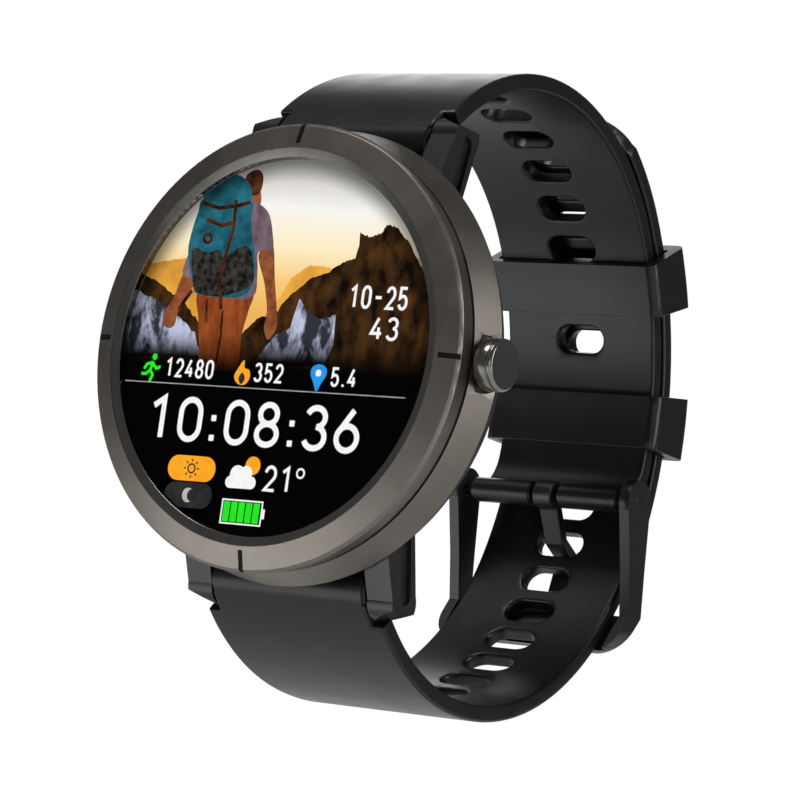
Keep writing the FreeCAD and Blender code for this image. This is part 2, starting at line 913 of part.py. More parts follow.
def push_switch():
    """Switch on the board's edge that the stem presses."""
    plunger_x = stem_inner_x - crown_travel - running_gap
    body_x = plunger_x - switch_plunger
    body = block(body_x - switch_depth, body_x, bracket_back_y, bracket_back_y + switch_height,
                 -switch_width / 2, switch_width / 2)
    return body.fuse(rod(switch_plunger_r, body_x, plunger_x, crown_y))


# ---------------------------------------------------------------- spring bars
def spring_bar(top):
    """Tube with one fixed tip, a bore for the release pin and a slot for its knob."""
    z = top * bar_z
    half = neck_width / 2
    tube = rod(bar_r, -half, half, bar_y, z)
    tube = tube.fuse(rod(tip_r, -tip_x, -half, bar_y, z))
    tube = tube.cut(rod(tip_r + running_gap, bar_spring_x, half, bar_y, z))
    slot_half = knob_r + inner_gap
    return tube.cut(block(knob_x - slot_half - pin_travel, knob_x + slot_half,
                          bar_y, bar_y + bar_r + 1, z - slot_half, z + slot_half))


def release_pin(top):
    """Sliding tip with the knob that a finger nail draws back."""
    z = top * bar_z
    pin = rod(tip_r, pin_inner_x, tip_x, bar_y, z)
    post = Part.makeCylinder(knob_r, knob_reach, V(knob_x, bar_y, z), V(0, 1, 0))
    return pin.fuse(post)


def release_spring(top):
    return coil(bar_spring_r, bar_spring_wire, bar_spring_turns, bar_spring_x, pin_inner_x,
                bar_y, top * bar_z)


# ---------------------------------------------------------------- straps
def plan_limit():
    """Tapered outline of both straps seen along Z, as a tall prism."""
    wide = shoulder_width / 2
    narrow = back_width / 2
    far_y = hinge_y + past
    corners = [(-wide, -past), (-wide, taper_start_y), (-narrow, taper_end_y), (-narrow, far_y),
               (narrow, far_y), (narrow, taper_end_y), (wide, taper_start_y), (wide, -past)]
    points = [V(x, y, -past) for x, y in corners]
    return Part.Face(Part.makePolygon(points + [points[0]])).extrude(V(0, 0, 2 * past))


def shoulder_cut(z):
    """Room for the lug tips at both sides of a strap's neck."""
    reach = shoulder_width / 2
    tools = []
    for side in (-1, 1):
        start = min(side * neck_width / 2, side * reach)
        tools.append(rod(shoulder_r, start, start + reach - neck_width / 2, bar_y, z))
    return tools


def strap_neck(z, hole_r):
    """Round end of a strap, bored for its spring bar."""
    half = neck_width / 2
    neck = rod(neck_r, -half, half, bar_y, z)
    return neck, rod(hole_r, -half, half, bar_y, z)


def knob_slot(z, gap):
    """Window in a strap's neck for the release knob."""
    half = knob_r + gap
    return block(knob_x - half - pin_travel, knob_x + half, bar_y, bar_y + neck_r + 2,
                 z - half, z + half)


def cut_arc(arc, start, end):
    """The same arc between two other angles."""
    return Arc(arc.centre, arc.radius, start, end)


def half_flex(arc):
    """Half of the flex gap as an angle on an arc."""
    return math.degrees(flex_gap / 2 / arc.radius)


def short_slots():
    """Slots of the short strap, from near its shoulder towards the buckle."""
    start = upper_corner_angle + math.degrees(short_slot_start / (upper_corner_r - strap_thickness))
    down = [cut_arc(upper_corner, upper_neck_angle, upper_corner_angle),
            cut_arc(back_arc, upper_corner_angle, strap_end_angle)]
    tools = []
    for i in range(short_slot_count):
        arc, angle = walk(down, 0, start, i * short_slot_pitch)
        tools.append(stadium_cutter(arc, angle, slot_length, slot_width, 4 * strap_thickness))
    return tools


def long_slots():
    """Slots of the long strap, from its front run to its tail."""
    up = [tail_arc, tail_corner]
    down = [cut_arc(tail_arc, upper_corner_angle, lower_corner_angle), lower_corner]
    tools = []
    for i in range(-long_slots_forward, long_slot_count - long_slots_forward):
        row = up if i >= 0 else down
        arc, angle = walk(row, 0, long_slot_angle, abs(i) * long_slot_pitch)
        tools.append(stadium_cutter(arc, angle, slot_length, slot_width, 4 * strap_thickness))
    return tools


def strap_short_front():
    """Short strap from its spring bar to the flex line."""
    flex = cut_arc(upper_corner, flex_angle + half_flex(upper_corner), upper_neck_angle)
    body = band([flex, upper_neck], strap_thickness, shoulder_width / 2).common(plan_limit())
    body = body.cut(shoulder_cut(bar_z))
    neck, hole = strap_neck(bar_z, bar_r)
    body = body.fuse(neck).cut(hole).cut(knob_slot(bar_z, inner_gap))
    return body.cut(short_slots()).removeSplitter()


def strap_short_rear():
    """Short strap from the flex line to the buckle's hinge."""
    corner = cut_arc(upper_corner, upper_corner_angle, flex_angle - half_flex(upper_corner))
    end = cut_arc(strap_end, strap_end.end, strap_end.start)
    body = band([end, back_arc, corner], strap_thickness, shoulder_width / 2)
    body = body.common(plan_limit())
    half = back_width / 2
    tube = rod(strap_end_r, -half, half, hinge_y, hinge_z)
    body = body.fuse(tube).cut(rod(buckle_pin_r, -half, half, hinge_y, hinge_z))
    notch_r = tang_ring_r + keeper_gap
    body = body.cut(rod(notch_r, -tang_notch / 2, tang_notch / 2, hinge_y, hinge_z))
    return body.cut(short_slots()).removeSplitter()


def tail_tip_cut():
    """Rounds the two corners of the long strap's tip."""
    half = back_width / 2
    reach = half + tail_tip_waste
    depth = 4 * strap_thickness
    waste = Part.makeBox(2 * reach, tail_tip_r + tail_tip_waste, depth,
                         V(-reach, -tail_tip_waste, -depth / 2))
    straight = 2 * (half - tail_tip_r)
    keep = [Part.makeBox(straight, tail_tip_r, depth, V(-straight / 2, 0, -depth / 2))]
    for side in (-1, 1):
        corner = V(side * straight / 2, tail_tip_r, -depth / 2)
        keep.append(Part.makeCylinder(tail_tip_r, depth, corner))
    return place_on(waste.cut(keep), tail_corner, tail_end_angle)


def strap_long_rear():
    """Long strap from the flex line, up outside the short strap, to its tip."""
    corner = cut_arc(lower_corner, -flex_angle + half_flex(lower_corner), lower_corner_angle)
    body = band([corner, tail_arc, tail_corner], tail_thickness, shoulder_width / 2)
    body = body.common(plan_limit())
    return body.cut(long_slots() + [tail_tip_cut()]).removeSplitter()


def strap_long_front():
    """Long strap from the flex line to its spring bar."""
    neck_arc = cut_arc(lower_neck, lower_neck.end, lower_neck.start)
    corner = cut_arc(lower_corner, lower_neck_angle, -flex_angle - half_flex(lower_corner))
    body = band([neck_arc, corner], strap_thickness, shoulder_width / 2).common(plan_limit())
    body = body.cut(shoulder_cut(-bar_z))
    neck, hole = strap_neck(-bar_z, bar_r + loose_hole_gap)
    body = body.fuse(neck).cut(hole).cut(knob_slot(-bar_z, loose_hole_gap + inner_gap))
    return body.cut(long_slots()).removeSplitter()


# ---------------------------------------------------------------- keepers
def keeper_section(half_width, low_r, high_r, corner):
    """Rounded rectangle across the strap, at angle zero of the back arc."""
    low = back_centre_y + low_r
    high = back_centre_y + high_r
    z = back_centre_z
    inset = corner * (1 - math.sqrt(0.5))
    edges = []
    sides = [(-1, low, 1), (1, low, 1), (1, high, -1), (-1, high, -1)]
    starts = []
    for side, y, inward in sides:
        along_y = V(side * half_width, y + inward * corner, z)
        along_x = V(side * (half_width - corner), y, z)
        middle = V(side * (half_width - inset), y + inward * inset, z)
        first_y = (side < 0) == (inward > 0)
        pair = (along_y, along_x) if first_y else (along_x, along_y)
        starts.append((pair[0], middle, pair[1]))
    for i, (start, middle, end) in enumerate(starts):
        edges.append(Part.Arc(start, middle, end).toShape())
        edges.append(Part.makeLine(end, starts[(i + 1) % 4][0]))
    return Part.Face(Part.Wire(edges))


def keeper(angle):
    """Loop that slides round the back of the strap, centred at one angle."""
    inside_half = back_width / 2 + keeper_gap
    inside_low = back_inner_r - keeper_gap
    inside_high = tail_r + keeper_gap
    outer = keeper_section(inside_half + keeper_side, inside_low - keeper_inner,
                           inside_high + keeper_outer, keeper_corner)
    inner = keeper_section(inside_half, inside_low, inside_high, keeper_corner / 4)
    turn = math.degrees(keeper_width / back_r)
    axis_point = V(0, back_centre_y, back_centre_z)
    loop = outer.cut(inner).revolve(axis_point, V(1, 0, 0), turn)
    loop.rotate(axis_point, V(1, 0, 0), angle - turn / 2)
    return loop


# ---------------------------------------------------------------- buckle
def outer_face_y(z):
    """Outer face of the long strap's lower corner at a height."""
    return lower_corner.centre[0] + math.sqrt(lower_corner_r ** 2 - (z - lower_corner.centre[1]) ** 2)


def far_bar_places():
    """Inner-face ends of the far bar, parallel to the strap beneath it."""
    top_z = far_bar_z + far_bar_length / 2
    low_z = far_bar_z - far_bar_length / 2
    return (outer_face_y(top_z) + far_bar_gap, top_z), (outer_face_y(low_z) + far_bar_gap, low_z)


def buckle_frame():
    """Two side arms with hinge eyes, joined by a far bar outside the strap."""
    top, low = far_bar_places()
    waist_z = (hinge_z + far_bar_z) / 2
    eye_front = hinge_y - eye_r
    eye_back = hinge_y + eye_r
    outline = [
        (eye_front, hinge_z),
        (eye_back + arm_bow - arm_waist, waist_z),
        (top[0] - arm_top_in, top[1]),
        (low[0] - arm_foot_in, low[1]),
        (low[0] + far_bar_thickness - far_bar_taper, low[1] - far_bar_lip),
        (top[0] + far_bar_thickness, top[1]),
        (eye_back + arm_bow, waist_z),
        (eye_back, hinge_z),
    ]
    half = arm_thickness / 2
    arms = []
    for side in (-1, 1):
        arm = side_plate(outline, half).fuse(rod(eye_r, -half, half, hinge_y, hinge_z))
        arm.translate(V(side * (arm_inner_x + half), 0, 0))
        arms.append(arm)
    span = arm_inner_x + arm_thickness
    bar = side_plate([top, low, outline[4], outline[5]], span)
    frame = bar.multiFuse(arms)
    frame = frame.cut(rod(buckle_pin_r + running_gap, -span, span, hinge_y, hinge_z))
    return frame.cut(buckle_corner_cut(span, low)).removeSplitter()


def buckle_corner_cut(span, low):
    """Rounds the frame's two far corners, seen from behind."""
    radius = buckle_corner_r
    base_z = low[1] - far_bar_lip
    tools = []
    for side in (-1, 1):
        corner = Part.makeBox(radius + 1, 2 * past, radius + 1, V(0, hinge_y - past, base_z - 1))
        corner.translate(V(span - radius, 0, 0))
        keep = disc(radius, hinge_y - past, hinge_y + past, span - radius, base_z + radius)
        waste = corner.cut(keep)
        tools.append(waste if side > 0 else waste.mirror(V(0, 0, 0), V(1, 0, 0)))
    return tools


def tang_route():
    """Middle line of the tang, seen along X."""
    top, low = far_bar_places()
    rise = far_bar_thickness + tang_rest_gap + tang_thickness / 2
    slot = spoke(back_centre, tail_inner_r, long_slot_angle)
    return [
        hinge,
        (slot[0] + tang_slot_in[0], slot[1] + tang_slot_in[1]),
        (slot[0] + tang_slot_out[0], slot[1] + tang_slot_out[1]),
        (top[0] + rise + tang_bar_rise, top[1]),
        ((top[0] + low[0]) / 2 + rise + tang_end_rise, (top[1] + low[1]) / 2),
    ]


def strip(route, thickness, half_width):
    """Flat strip of constant thickness along a bent line, seen along X."""
    pieces = []
    for start, end in zip(route, route[1:]):
        length = math.hypot(end[0] - start[0], end[1] - start[1])
        angle = math.degrees(math.atan2(end[1] - start[1], end[0] - start[0]))
        piece = Part.makeBox(2 * half_width, length, thickness, V(-half_width, 0, -thickness / 2))
        piece.rotate(V(0, 0, 0), V(1, 0, 0), angle)
        piece.translate(side_point(start))
        pieces.append(piece)
        pieces.append(rod(thickness / 2, -half_width, half_width, end[0], end[1]))
    return joined(pieces[0], *pieces[1:])


def buckle_tang():
    half = tang_width / 2
    tang = strip(tang_route(), tang_thickness, half)
    tang = tang.fuse(rod(tang_ring_r, -half, half, hinge_y, hinge_z))
    return tang.cut(rod(buckle_pin_r + running_gap, -half, half, hinge_y, hinge_z)).removeSplitter()


def buckle_pin():
    reach = arm_inner_x + arm_thickness
    return rod(buckle_pin_r, -reach, reach, hinge_y, hinge_z)


# ---------------------------------------------------------------- output
nodes = {
    "bezel_ring": bezel_ring,
    "bezel_marks": bezel_marks,
    "glass_trim_ring": glass_trim_ring,
    "mid_case": mid_case,
    "lower_case": lower_case,
    "case_back": case_back,
    "case_back_gasket": case_back_gasket,
    "case_back_screws": case_back_screws,
    "sensor_window": sensor_window,
    "sensor_board": sensor_board,
    "charge_contacts": charge_contacts,
    "cover_glass": cover_glass,
    "glass_gasket": glass_gasket,
    "display_module": display_module,
    "display_bracket": display_bracket,
    "main_board": main_board,
    "board_chips": board_chips,
    "gps_antenna": gps_antenna,
    "battery": battery,
    "vibration_motor": vibration_motor,
    "motor_rotor": motor_rotor,
    "crown_cap": crown_cap,
    "crown_stem": crown_stem,
    "crown_o_ring": crown_o_ring,
    "crown_clip": crown_clip,
    "crown_tube": crown_tube,
    "crown_spring_seat": crown_spring_seat,
    "crown_spring": crown_spring,
    "push_switch": push_switch,
    "spring_bar_upper": lambda: spring_bar(1),
    "spring_bar_lower": lambda: spring_bar(-1),
    "release_pin_upper": lambda: release_pin(1),
    "release_pin_lower": lambda: release_pin(-1),
    "release_spring_upper": lambda: release_spring(1),
    "release_spring_lower": lambda: release_spring(-1),
    "strap_short_front": strap_short_front,
    "strap_short_rear": strap_short_rear,
    "strap_long_front": strap_long_front,
    "strap_long_rear": strap_long_rear,
    "keeper_upper": lambda: keeper(keeper_upper_angle),
    "keeper_lower": lambda: keeper(keeper_lower_angle),
    "buckle_frame": buckle_frame,
    "buckle_tang": buckle_tang,
    "buckle_pin": buckle_pin,
}

for node, make in nodes.items():
    export(make(), node)
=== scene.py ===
"""Looks of a round sports watch on a buckled silicone strap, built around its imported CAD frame."""
import json
import math
import random

import bmesh
import bpy
from mathutils import Matrix, Vector


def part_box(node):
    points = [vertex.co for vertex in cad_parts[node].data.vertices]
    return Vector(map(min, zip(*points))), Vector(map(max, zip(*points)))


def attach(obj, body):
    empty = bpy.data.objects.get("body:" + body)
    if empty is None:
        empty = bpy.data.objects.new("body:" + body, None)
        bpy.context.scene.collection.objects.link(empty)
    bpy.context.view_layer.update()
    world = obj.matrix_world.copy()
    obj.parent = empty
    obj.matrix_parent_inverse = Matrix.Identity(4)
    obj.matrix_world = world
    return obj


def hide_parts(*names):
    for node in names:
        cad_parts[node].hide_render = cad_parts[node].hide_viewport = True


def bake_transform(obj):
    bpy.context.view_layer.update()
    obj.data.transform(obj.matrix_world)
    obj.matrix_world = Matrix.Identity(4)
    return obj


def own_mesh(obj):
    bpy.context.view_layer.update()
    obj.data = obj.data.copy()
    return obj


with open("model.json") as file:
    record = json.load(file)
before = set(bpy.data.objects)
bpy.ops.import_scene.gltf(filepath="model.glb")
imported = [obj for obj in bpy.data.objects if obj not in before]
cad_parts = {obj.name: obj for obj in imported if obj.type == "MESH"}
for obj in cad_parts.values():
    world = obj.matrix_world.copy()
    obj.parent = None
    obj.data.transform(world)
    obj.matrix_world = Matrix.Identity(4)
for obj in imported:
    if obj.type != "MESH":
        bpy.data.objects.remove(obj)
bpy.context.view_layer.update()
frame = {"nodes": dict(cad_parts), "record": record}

MM = 0.001

# ---------------------------------------------------------------- driving values, millimetres
# camera, about the centre of the bezel's front crest
camera_azimuth = 35.87
camera_elevation = -5.82
camera_roll = 7.83
camera_distance = 369.66
camera_right = 13.30
camera_up = -5.52
camera_lens = 165.0
sensor_width = 36.0

# the strap's loop, seen along X: (y, z) centres and outer radii of its tangent arcs
bar_place = (-1.4, 23.0)
neck_r = 2.7
back_centre = (9.0, 0.8)
back_r = 38.45
hinge = (42.0, -7.5)
strap_end_r = 1.4
strap_end_angle = -6.0
upper_corner_r = 28.0
upper_corner_angle = 33.0
upper_neck_angle = 112.0
lower_corner_r = 31.4
lower_corner_angle = -24.0
lower_neck_angle = -100.0
flex_angle = 78.0
tail_end_angle = 66.0
layer_gap = 0.5
strap_thickness = 1.8
tail_thickness = 1.65
shoulder_half = 11.3
neck_half = 9.8
back_half = 9.8
taper_start_y = -1.0
taper_end_y = 43.0
shoulder_r = 3.6
tail_tip_r = 6.0
slot_length = 6.0
slot_width = 3.2
short_slots = 8
short_slot_pitch = 5.5
short_slot_start = 25.1
long_slots = 17
long_slots_forward = 6
long_slot_pitch = 4.9
long_slot_angle = -20.1
notch_half = 1.85
notch_depth = 3.2
edge_round = 0.32
bend_step = 0.8
tail_thinning = 4.0

# round necks at the lugs, bored for their bars, with a window for the release knob
neck_edge = 0.3
upper_bore = 0.8
lower_bore = 1.1
bore_edge = 0.05
knuckle_edge = 0.2
knob_x = 7.4
window_size = (2.3, 5.0, 1.9)
window_back = 2.5
window_inset = 0.5

# springs: wire radii, turns, and points drawn per turn
crown_wire = 0.12
crown_turns = 4
bar_wire = 0.09
bar_turns = 8
spring_steps = 24

# noise that drifts a material's tone, per metre
tone_scale = 90.0

# studio
floor_z = -100.0
floor_r = 700.0
dome_r = 2500.0
world_light = 0.15

# glass and display: depths behind the glass's face, and one layer of the picture
glass_depth = 0.6
glass_edge = 0.15
picture_depth = 0.95
picture_gap = 0.05
layer = 0.02
plate_depth = 0.8 * layer
fade_start_r = 16.8
rim_light = 0.25


# ---------------------------------------------------------------- small tools
def point(y, z, x=0.0):
    """A place given in millimetres, as a vector in metres."""
    return Vector((x * MM, y * MM, z * MM))


def spoke(centre, radius, degrees):
    """Point at an angle from +Y towards +Z about a (y, z) centre."""
    turn = math.radians(degrees)
    return (centre[0] + radius * math.cos(turn), centre[1] + radius * math.sin(turn))


def bow(cx, cz, rx, rz, start, end, count=16):
    """Points of part of an ellipse."""
    turns = [math.radians(start + (end - start) * i / count) for i in range(count + 1)]
    return [(cx + rx * math.cos(t), cz + rz * math.sin(t)) for t in turns]


def new_object(name, mesh):
    piece = bpy.data.objects.new(name, mesh)
    bpy.context.scene.collection.objects.link(piece)
    return piece


def mesh_of(curve):
    """Mesh of a curve, which is then removed."""
    holder = new_object("curve_holder", curve)
    bpy.context.view_layer.update()
    graph = bpy.context.evaluated_depsgraph_get()
    mesh = bpy.data.meshes.new_from_object(holder.evaluated_get(graph))
    bpy.data.objects.remove(holder)
    return mesh


def mesh_from(name, bm):
    """Mesh of a bmesh, which is then freed."""
    mesh = bpy.data.meshes.new(name)
    bm.to_mesh(mesh)
    bm.free()
    return mesh


def smooth(mesh, degrees=32.0):
    """Smooth faces with sharp edges where they meet steeply."""
    mesh.shade_smooth()
    mesh.set_sharp_from_angle(angle=math.radians(degrees))


def weighted(piece):
    modifier = piece.modifiers.new("weighted", "WEIGHTED_NORMAL")
    modifier.keep_sharp = True


# ---------------------------------------------------------------- materials
def material(name, colour, roughness, metallic=0.0, **sockets):
    """Principled material, with its node tree's main nodes."""
    made = bpy.data.materials.new(name)
    made.use_nodes = True
    shader = made.node_tree.nodes["Principled BSDF"]
    shader.inputs["Base Color"].default_value = (*colour, 1.0)
    shader.inputs["Roughness"].default_value = roughness
    shader.inputs["Metallic"].default_value = metallic
    for socket, value in sockets.items():
        shader.inputs[socket.replace("_", " ")].default_value = value
    return made


def add_noise(made, scale, detail=3.0):
    """Noise over the object's own coordinates, with a scale per metre."""
    tree = made.node_tree
    place = tree.nodes.new("ShaderNodeTexCoord")
    noise = tree.nodes.new("ShaderNodeTexNoise")
    noise.inputs["Scale"].default_value = scale
    noise.inputs["Detail"].default_value = detail
    tree.links.new(place.outputs["Object"], noise.inputs["Vector"])
    return noise.outputs["Fac"]


def add_range(made, value, low, high):
    """Maps a noise value to a range."""
    tree = made.node_tree
    span = tree.nodes.new("ShaderNodeMapRange")
    span.inputs["From Min"].default_value = 0.3
    span.inputs["From Max"].default_value = 0.7
    span.inputs["To Min"].default_value = low
    span.inputs["To Max"].default_value = high
    tree.links.new(value, span.inputs["Value"])
    return span.outputs["Result"]


def add_bump(made, value, height):
    tree = made.node_tree
    bump = tree.nodes.new("ShaderNodeBump")
    bump.inputs["Strength"].default_value = 0.6
    bump.inputs["Distance"].default_value = height * MM
    tree.links.new(value, bump.inputs["Height"])
    shader = tree.nodes["Principled BSDF"]
    tree.links.new(bump.outputs["Normal"], shader.inputs["Normal"])


def add_colours(made, value, dark, light):
    """Colour that drifts between two tones with a noise value."""
    tree = made.node_tree
    ramp = tree.nodes.new("ShaderNodeValToRGB")
    ramp.color_ramp.elements[0].position = 0.35
    ramp.color_ramp.elements[0].color = (*dark, 1.0)
    ramp.color_ramp.elements[1].position = 0.65
    ramp.color_ramp.elements[1].color = (*light, 1.0)
    tree.links.new(value, ramp.inputs["Fac"])
    tree.links.new(ramp.outputs["Color"], tree.nodes["Principled BSDF"].inputs["Base Color"])


def grained(name, dark, light, rough, metallic, grain, height, **sockets):
    """Material with drifting tone and roughness over a fine grain in relief."""
    made = material(name, light, rough[0], metallic, **sockets)
    add_colours(made, add_noise(made, tone_scale), dark, light)
    shader = made.node_tree.nodes["Principled BSDF"]
    spread = add_range(made, add_noise(made, tone_scale * 3), rough[0], rough[1])
    made.node_tree.links.new(spread, shader.inputs["Roughness"])
    add_bump(made, add_noise(made, grain, 2.0), height)
    return made


def solid_materials():
    """Finish for each material slot but the display's and the glass's."""
    return {
        "gunmetal_ring": grained("blasted_gunmetal", (0.15, 0.137, 0.12), (0.185, 0.17, 0.15),
                                 (0.36, 0.44), 1.0, 9000.0, 0.012),
        "polished_gunmetal": grained("polished_gunmetal", (0.2, 0.195, 0.18), (0.24, 0.23, 0.215),
                                     (0.16, 0.22), 1.0, 4000.0, 0.002),
        "case_black": grained("moulded_black", (0.006, 0.006, 0.006), (0.01, 0.01, 0.01),
                              (0.34, 0.42), 0.0, 7000.0, 0.006, Specular_IOR_Level=0.4),
        "case_back_black": grained("satin_back", (0.018, 0.018, 0.019), (0.026, 0.026, 0.027),
                                   (0.46, 0.54), 0.0, 6000.0, 0.004),
        "strap_black": grained("silicone", (0.0026, 0.0026, 0.0028), (0.0042, 0.0042, 0.0045),
                               (0.31, 0.38), 0.0, 5200.0, 0.004, Specular_IOR_Level=0.34),
        "buckle_black": grained("coated_steel", (0.008, 0.008, 0.008), (0.012, 0.012, 0.012),
                                (0.28, 0.36), 0.2, 6500.0, 0.004),
        "black_inlay": grained("inlay", (0.001, 0.001, 0.001), (0.002, 0.002, 0.002),
                               (0.6, 0.7), 0.0, 8000.0, 0.003, Specular_IOR_Level=0.12),
        "bright_steel": grained("turned_steel", (0.45, 0.45, 0.46), (0.6, 0.6, 0.61),
                                (0.2, 0.3), 1.0, 5000.0, 0.003),
        "dark_glass": grained("sensor_glass", (0.006, 0.006, 0.008), (0.01, 0.009, 0.012),
                              (0.05, 0.08), 0.0, 900.0, 0.001, Coat_Weight=0.6),
        "bracket_metal": grained("stamped_plate", (0.4, 0.4, 0.41), (0.52, 0.52, 0.53),
                                 (0.3, 0.4), 1.0, 4000.0, 0.004),
        "board_green": grained("solder_mask", (0.01, 0.08, 0.035), (0.02, 0.12, 0.055),
                               (0.25, 0.35), 0.0, 3000.0, 0.006),
        "chip_black": grained("chip_package", (0.015, 0.015, 0.016), (0.025, 0.025, 0.026),
                              (0.5, 0.6), 0.0, 6000.0, 0.004),
        "antenna_ceramic": grained("ceramic", (0.6, 0.57, 0.5), (0.7, 0.67, 0.6),
                                   (0.2, 0.3), 0.0, 2500.0, 0.003),
        "battery_wrap": grained("foil", (0.45, 0.46, 0.48), (0.6, 0.61, 0.63),
                                (0.25, 0.4), 0.8, 1500.0, 0.01),
        "gold_contact": grained("gold", (0.75, 0.52, 0.2), (0.85, 0.62, 0.27),
                                (0.15, 0.25), 1.0, 5000.0, 0.002),
        "gasket_black": grained("seal", (0.012, 0.012, 0.012), (0.02, 0.02, 0.02),
                                (0.5, 0.6), 0.0, 4000.0, 0.004),
    }


def glass_material():
    made = material("clear_glass", (1.0, 1.0, 1.0), 0.02, Transmission_Weight=1.0, IOR=1.12)
    add_bump(made, add_noise(made, 300.0), 0.0004)
    return made


def light_material(name, colour, drift):
    """Lit picture colour; drift is a second tone that noise mixes in."""
    made = material(name, (0.0, 0.0, 0.0), 0.5, Specular_IOR_Level=0.0)
    tree = made.node_tree
    ramp = tree.nodes.new("ShaderNodeValToRGB")
    ramp.color_ramp.elements[0].position = 0.4
    ramp.color_ramp.elements[0].color = (*drift, 1.0)
    ramp.color_ramp.elements[1].position = 0.6
    ramp.color_ramp.elements[1].color = (*colour, 1.0)
    tree.links.new(add_noise(made, 900.0), ramp.inputs["Fac"])
    shader = tree.nodes["Principled BSDF"]
    tree.links.new(ramp.outputs["Color"], shader.inputs["Emission Color"])
    shader.inputs["Emission Strength"].default_value = 1.0
    return made


# ---------------------------------------------------------------- carried-over CAD pieces
def finish_nodes(finishes):
    """Gives CAD nodes their materials by slot, and rounds the edges of those that show most."""
    slot_of = {s["node"]: s["material_slot"] for s in frame["record"]["subparts"]}
    rounded = {
        "bezel_ring": 0.09, "glass_trim_ring": 0.06, "mid_case": 0.07, "lower_case": 0.2,
        "crown_cap": 0.06, "case_back": 0.08, "keeper_upper": 0.22, "keeper_lower": 0.22,
        "buckle_frame": 0.25, "buckle_tang": 0.15, "buckle_pin": 0.1, "sensor_window": 0.05,
    }
    for name, node in frame["nodes"].items():
        made = finishes.get(slot_of[name])
        if made is None:
            continue
        node.data.materials.clear()
        node.data.materials.append(made)
        if name in rounded:
            weld = node.modifiers.new("weld", "WELD")
            weld.merge_threshold = 0.002 * MM
            flat = node.modifiers.new("flat", "DECIMATE")
            flat.decimate_type = "DISSOLVE"
            flat.angle_limit = math.radians(1.0)
            bevel = node.modifiers.new("rounding", "BEVEL")
            bevel.width = rounded[name] * MM
            bevel.segments = 2
            bevel.limit_method = "ANGLE"
            bevel.angle_limit = math.radians(28.0)
            bevel.use_clamp_overlap = True
            bevel.harden_normals = True
            weighted(node)


# ---------------------------------------------------------------- straps
class Route:
    """Row of tangent arcs on a strap's outer face, walked by length."""

    def __init__(self, arcs):
        self.arcs = arcs
        self.lengths = [abs(math.radians(a[3] - a[2])) * a[1] for a in arcs]
        self.total = sum(self.lengths)

    def at(self, length):
        """Outer-face place and outward direction, both (y, z)."""
        left = length
        for arc, span in zip(self.arcs, self.lengths):
            if left <= span or arc is self.arcs[-1]:
                break
            left -= span
        centre, radius, start, end = arc
        sense = 1 if end > start else -1
        angle = start + sense * math.degrees(left / radius)
        return spoke(centre, radius, angle), spoke((0, 0), 1.0, angle)

    def before(self, index, angle):
        """Length from the route's start to an angle on one of its arcs."""
        radius, start = self.arcs[index][1:3]
        return sum(self.lengths[:index]) + abs(math.radians(angle - start)) * radius


def inner_arc(centre, radius, inner_r, start):
    return spoke(centre, radius - inner_r, start)


def closing_arc(centre, radius, start, target, target_r):
    """Centre, radius, start and end of an arc that closes on a circle."""
    unit = spoke((0, 0), 1.0, start)
    away = (centre[0] - target[0], centre[1] - target[1])
    reach = radius - target_r
    along = away[0] * unit[0] + away[1] * unit[1]
    shift = (reach ** 2 - away[0] ** 2 - away[1] ** 2) / (2 * (along + reach))
    middle = spoke(centre, shift, start)
    end = math.degrees(math.atan2(target[1] - middle[1], target[0] - middle[0]))
    return middle, radius - shift, start, end


def reverse(arc):
    return arc[0], arc[1], arc[3], arc[2]


upper_bar = bar_place
lower_bar = (bar_place[0], -bar_place[1])
tail_r = back_r + layer_gap + tail_thickness
upper_centre = inner_arc(back_centre, back_r, upper_corner_r, upper_corner_angle)
lower_centre = inner_arc(back_centre, tail_r, lower_corner_r, lower_corner_angle)
tail_corner_r = upper_corner_r + layer_gap + tail_thickness
end_arc = closing_arc(back_centre, back_r, strap_end_angle, hinge, strap_end_r)
short_route = Route([
    reverse(end_arc),
    (back_centre, back_r, strap_end_angle, upper_corner_angle),
    (upper_centre, upper_corner_r, upper_corner_angle, upper_neck_angle),
    closing_arc(upper_centre, upper_corner_r, upper_neck_angle, upper_bar, neck_r),
])
long_route = Route([
    reverse(closing_arc(lower_centre, lower_corner_r, lower_neck_angle, lower_bar, neck_r)),
    (lower_centre, lower_corner_r, lower_neck_angle, lower_corner_angle),
    (back_centre, tail_r, lower_corner_angle, upper_corner_angle),
    (upper_centre, tail_corner_r, upper_corner_angle, tail_end_angle),
])


def half_width(y):
    """The strap's taper, from its shoulders to its back."""
    share = min(max((y - taper_start_y) / (taper_end_y - taper_start_y), 0.0), 1.0)
    return shoulder_half + share * (back_half - shoulder_half)


def side_line(route, low, high):
    """Points of the strap's right edge between two lengths."""
    steps = max(int((high - low) / bend_step), 2)
    lengths = [low + (high - low) * i / steps for i in range(steps + 1)]
    return [(s, half_width(route.at(s)[0][0])) for s in lengths]


def slot_outline(length):
    """Long round-ended slot across the strap."""
    straight = (slot_length - slot_width) / 2
    radius = slot_width / 2
    return (bow(length, straight, radius, radius, 0, 180, 12)
            + bow(length, -straight, radius, radius, 180, 360, 12))


def shoulder_length(route, bar, at_end):
    """Length along the route where the strap leaves the lug's round tip."""
    s = route.total if at_end else 0.0
    step = -0.05 if at_end else 0.05
    while math.dist(route.at(s)[0], bar) < shoulder_r:
        s += step
    return s


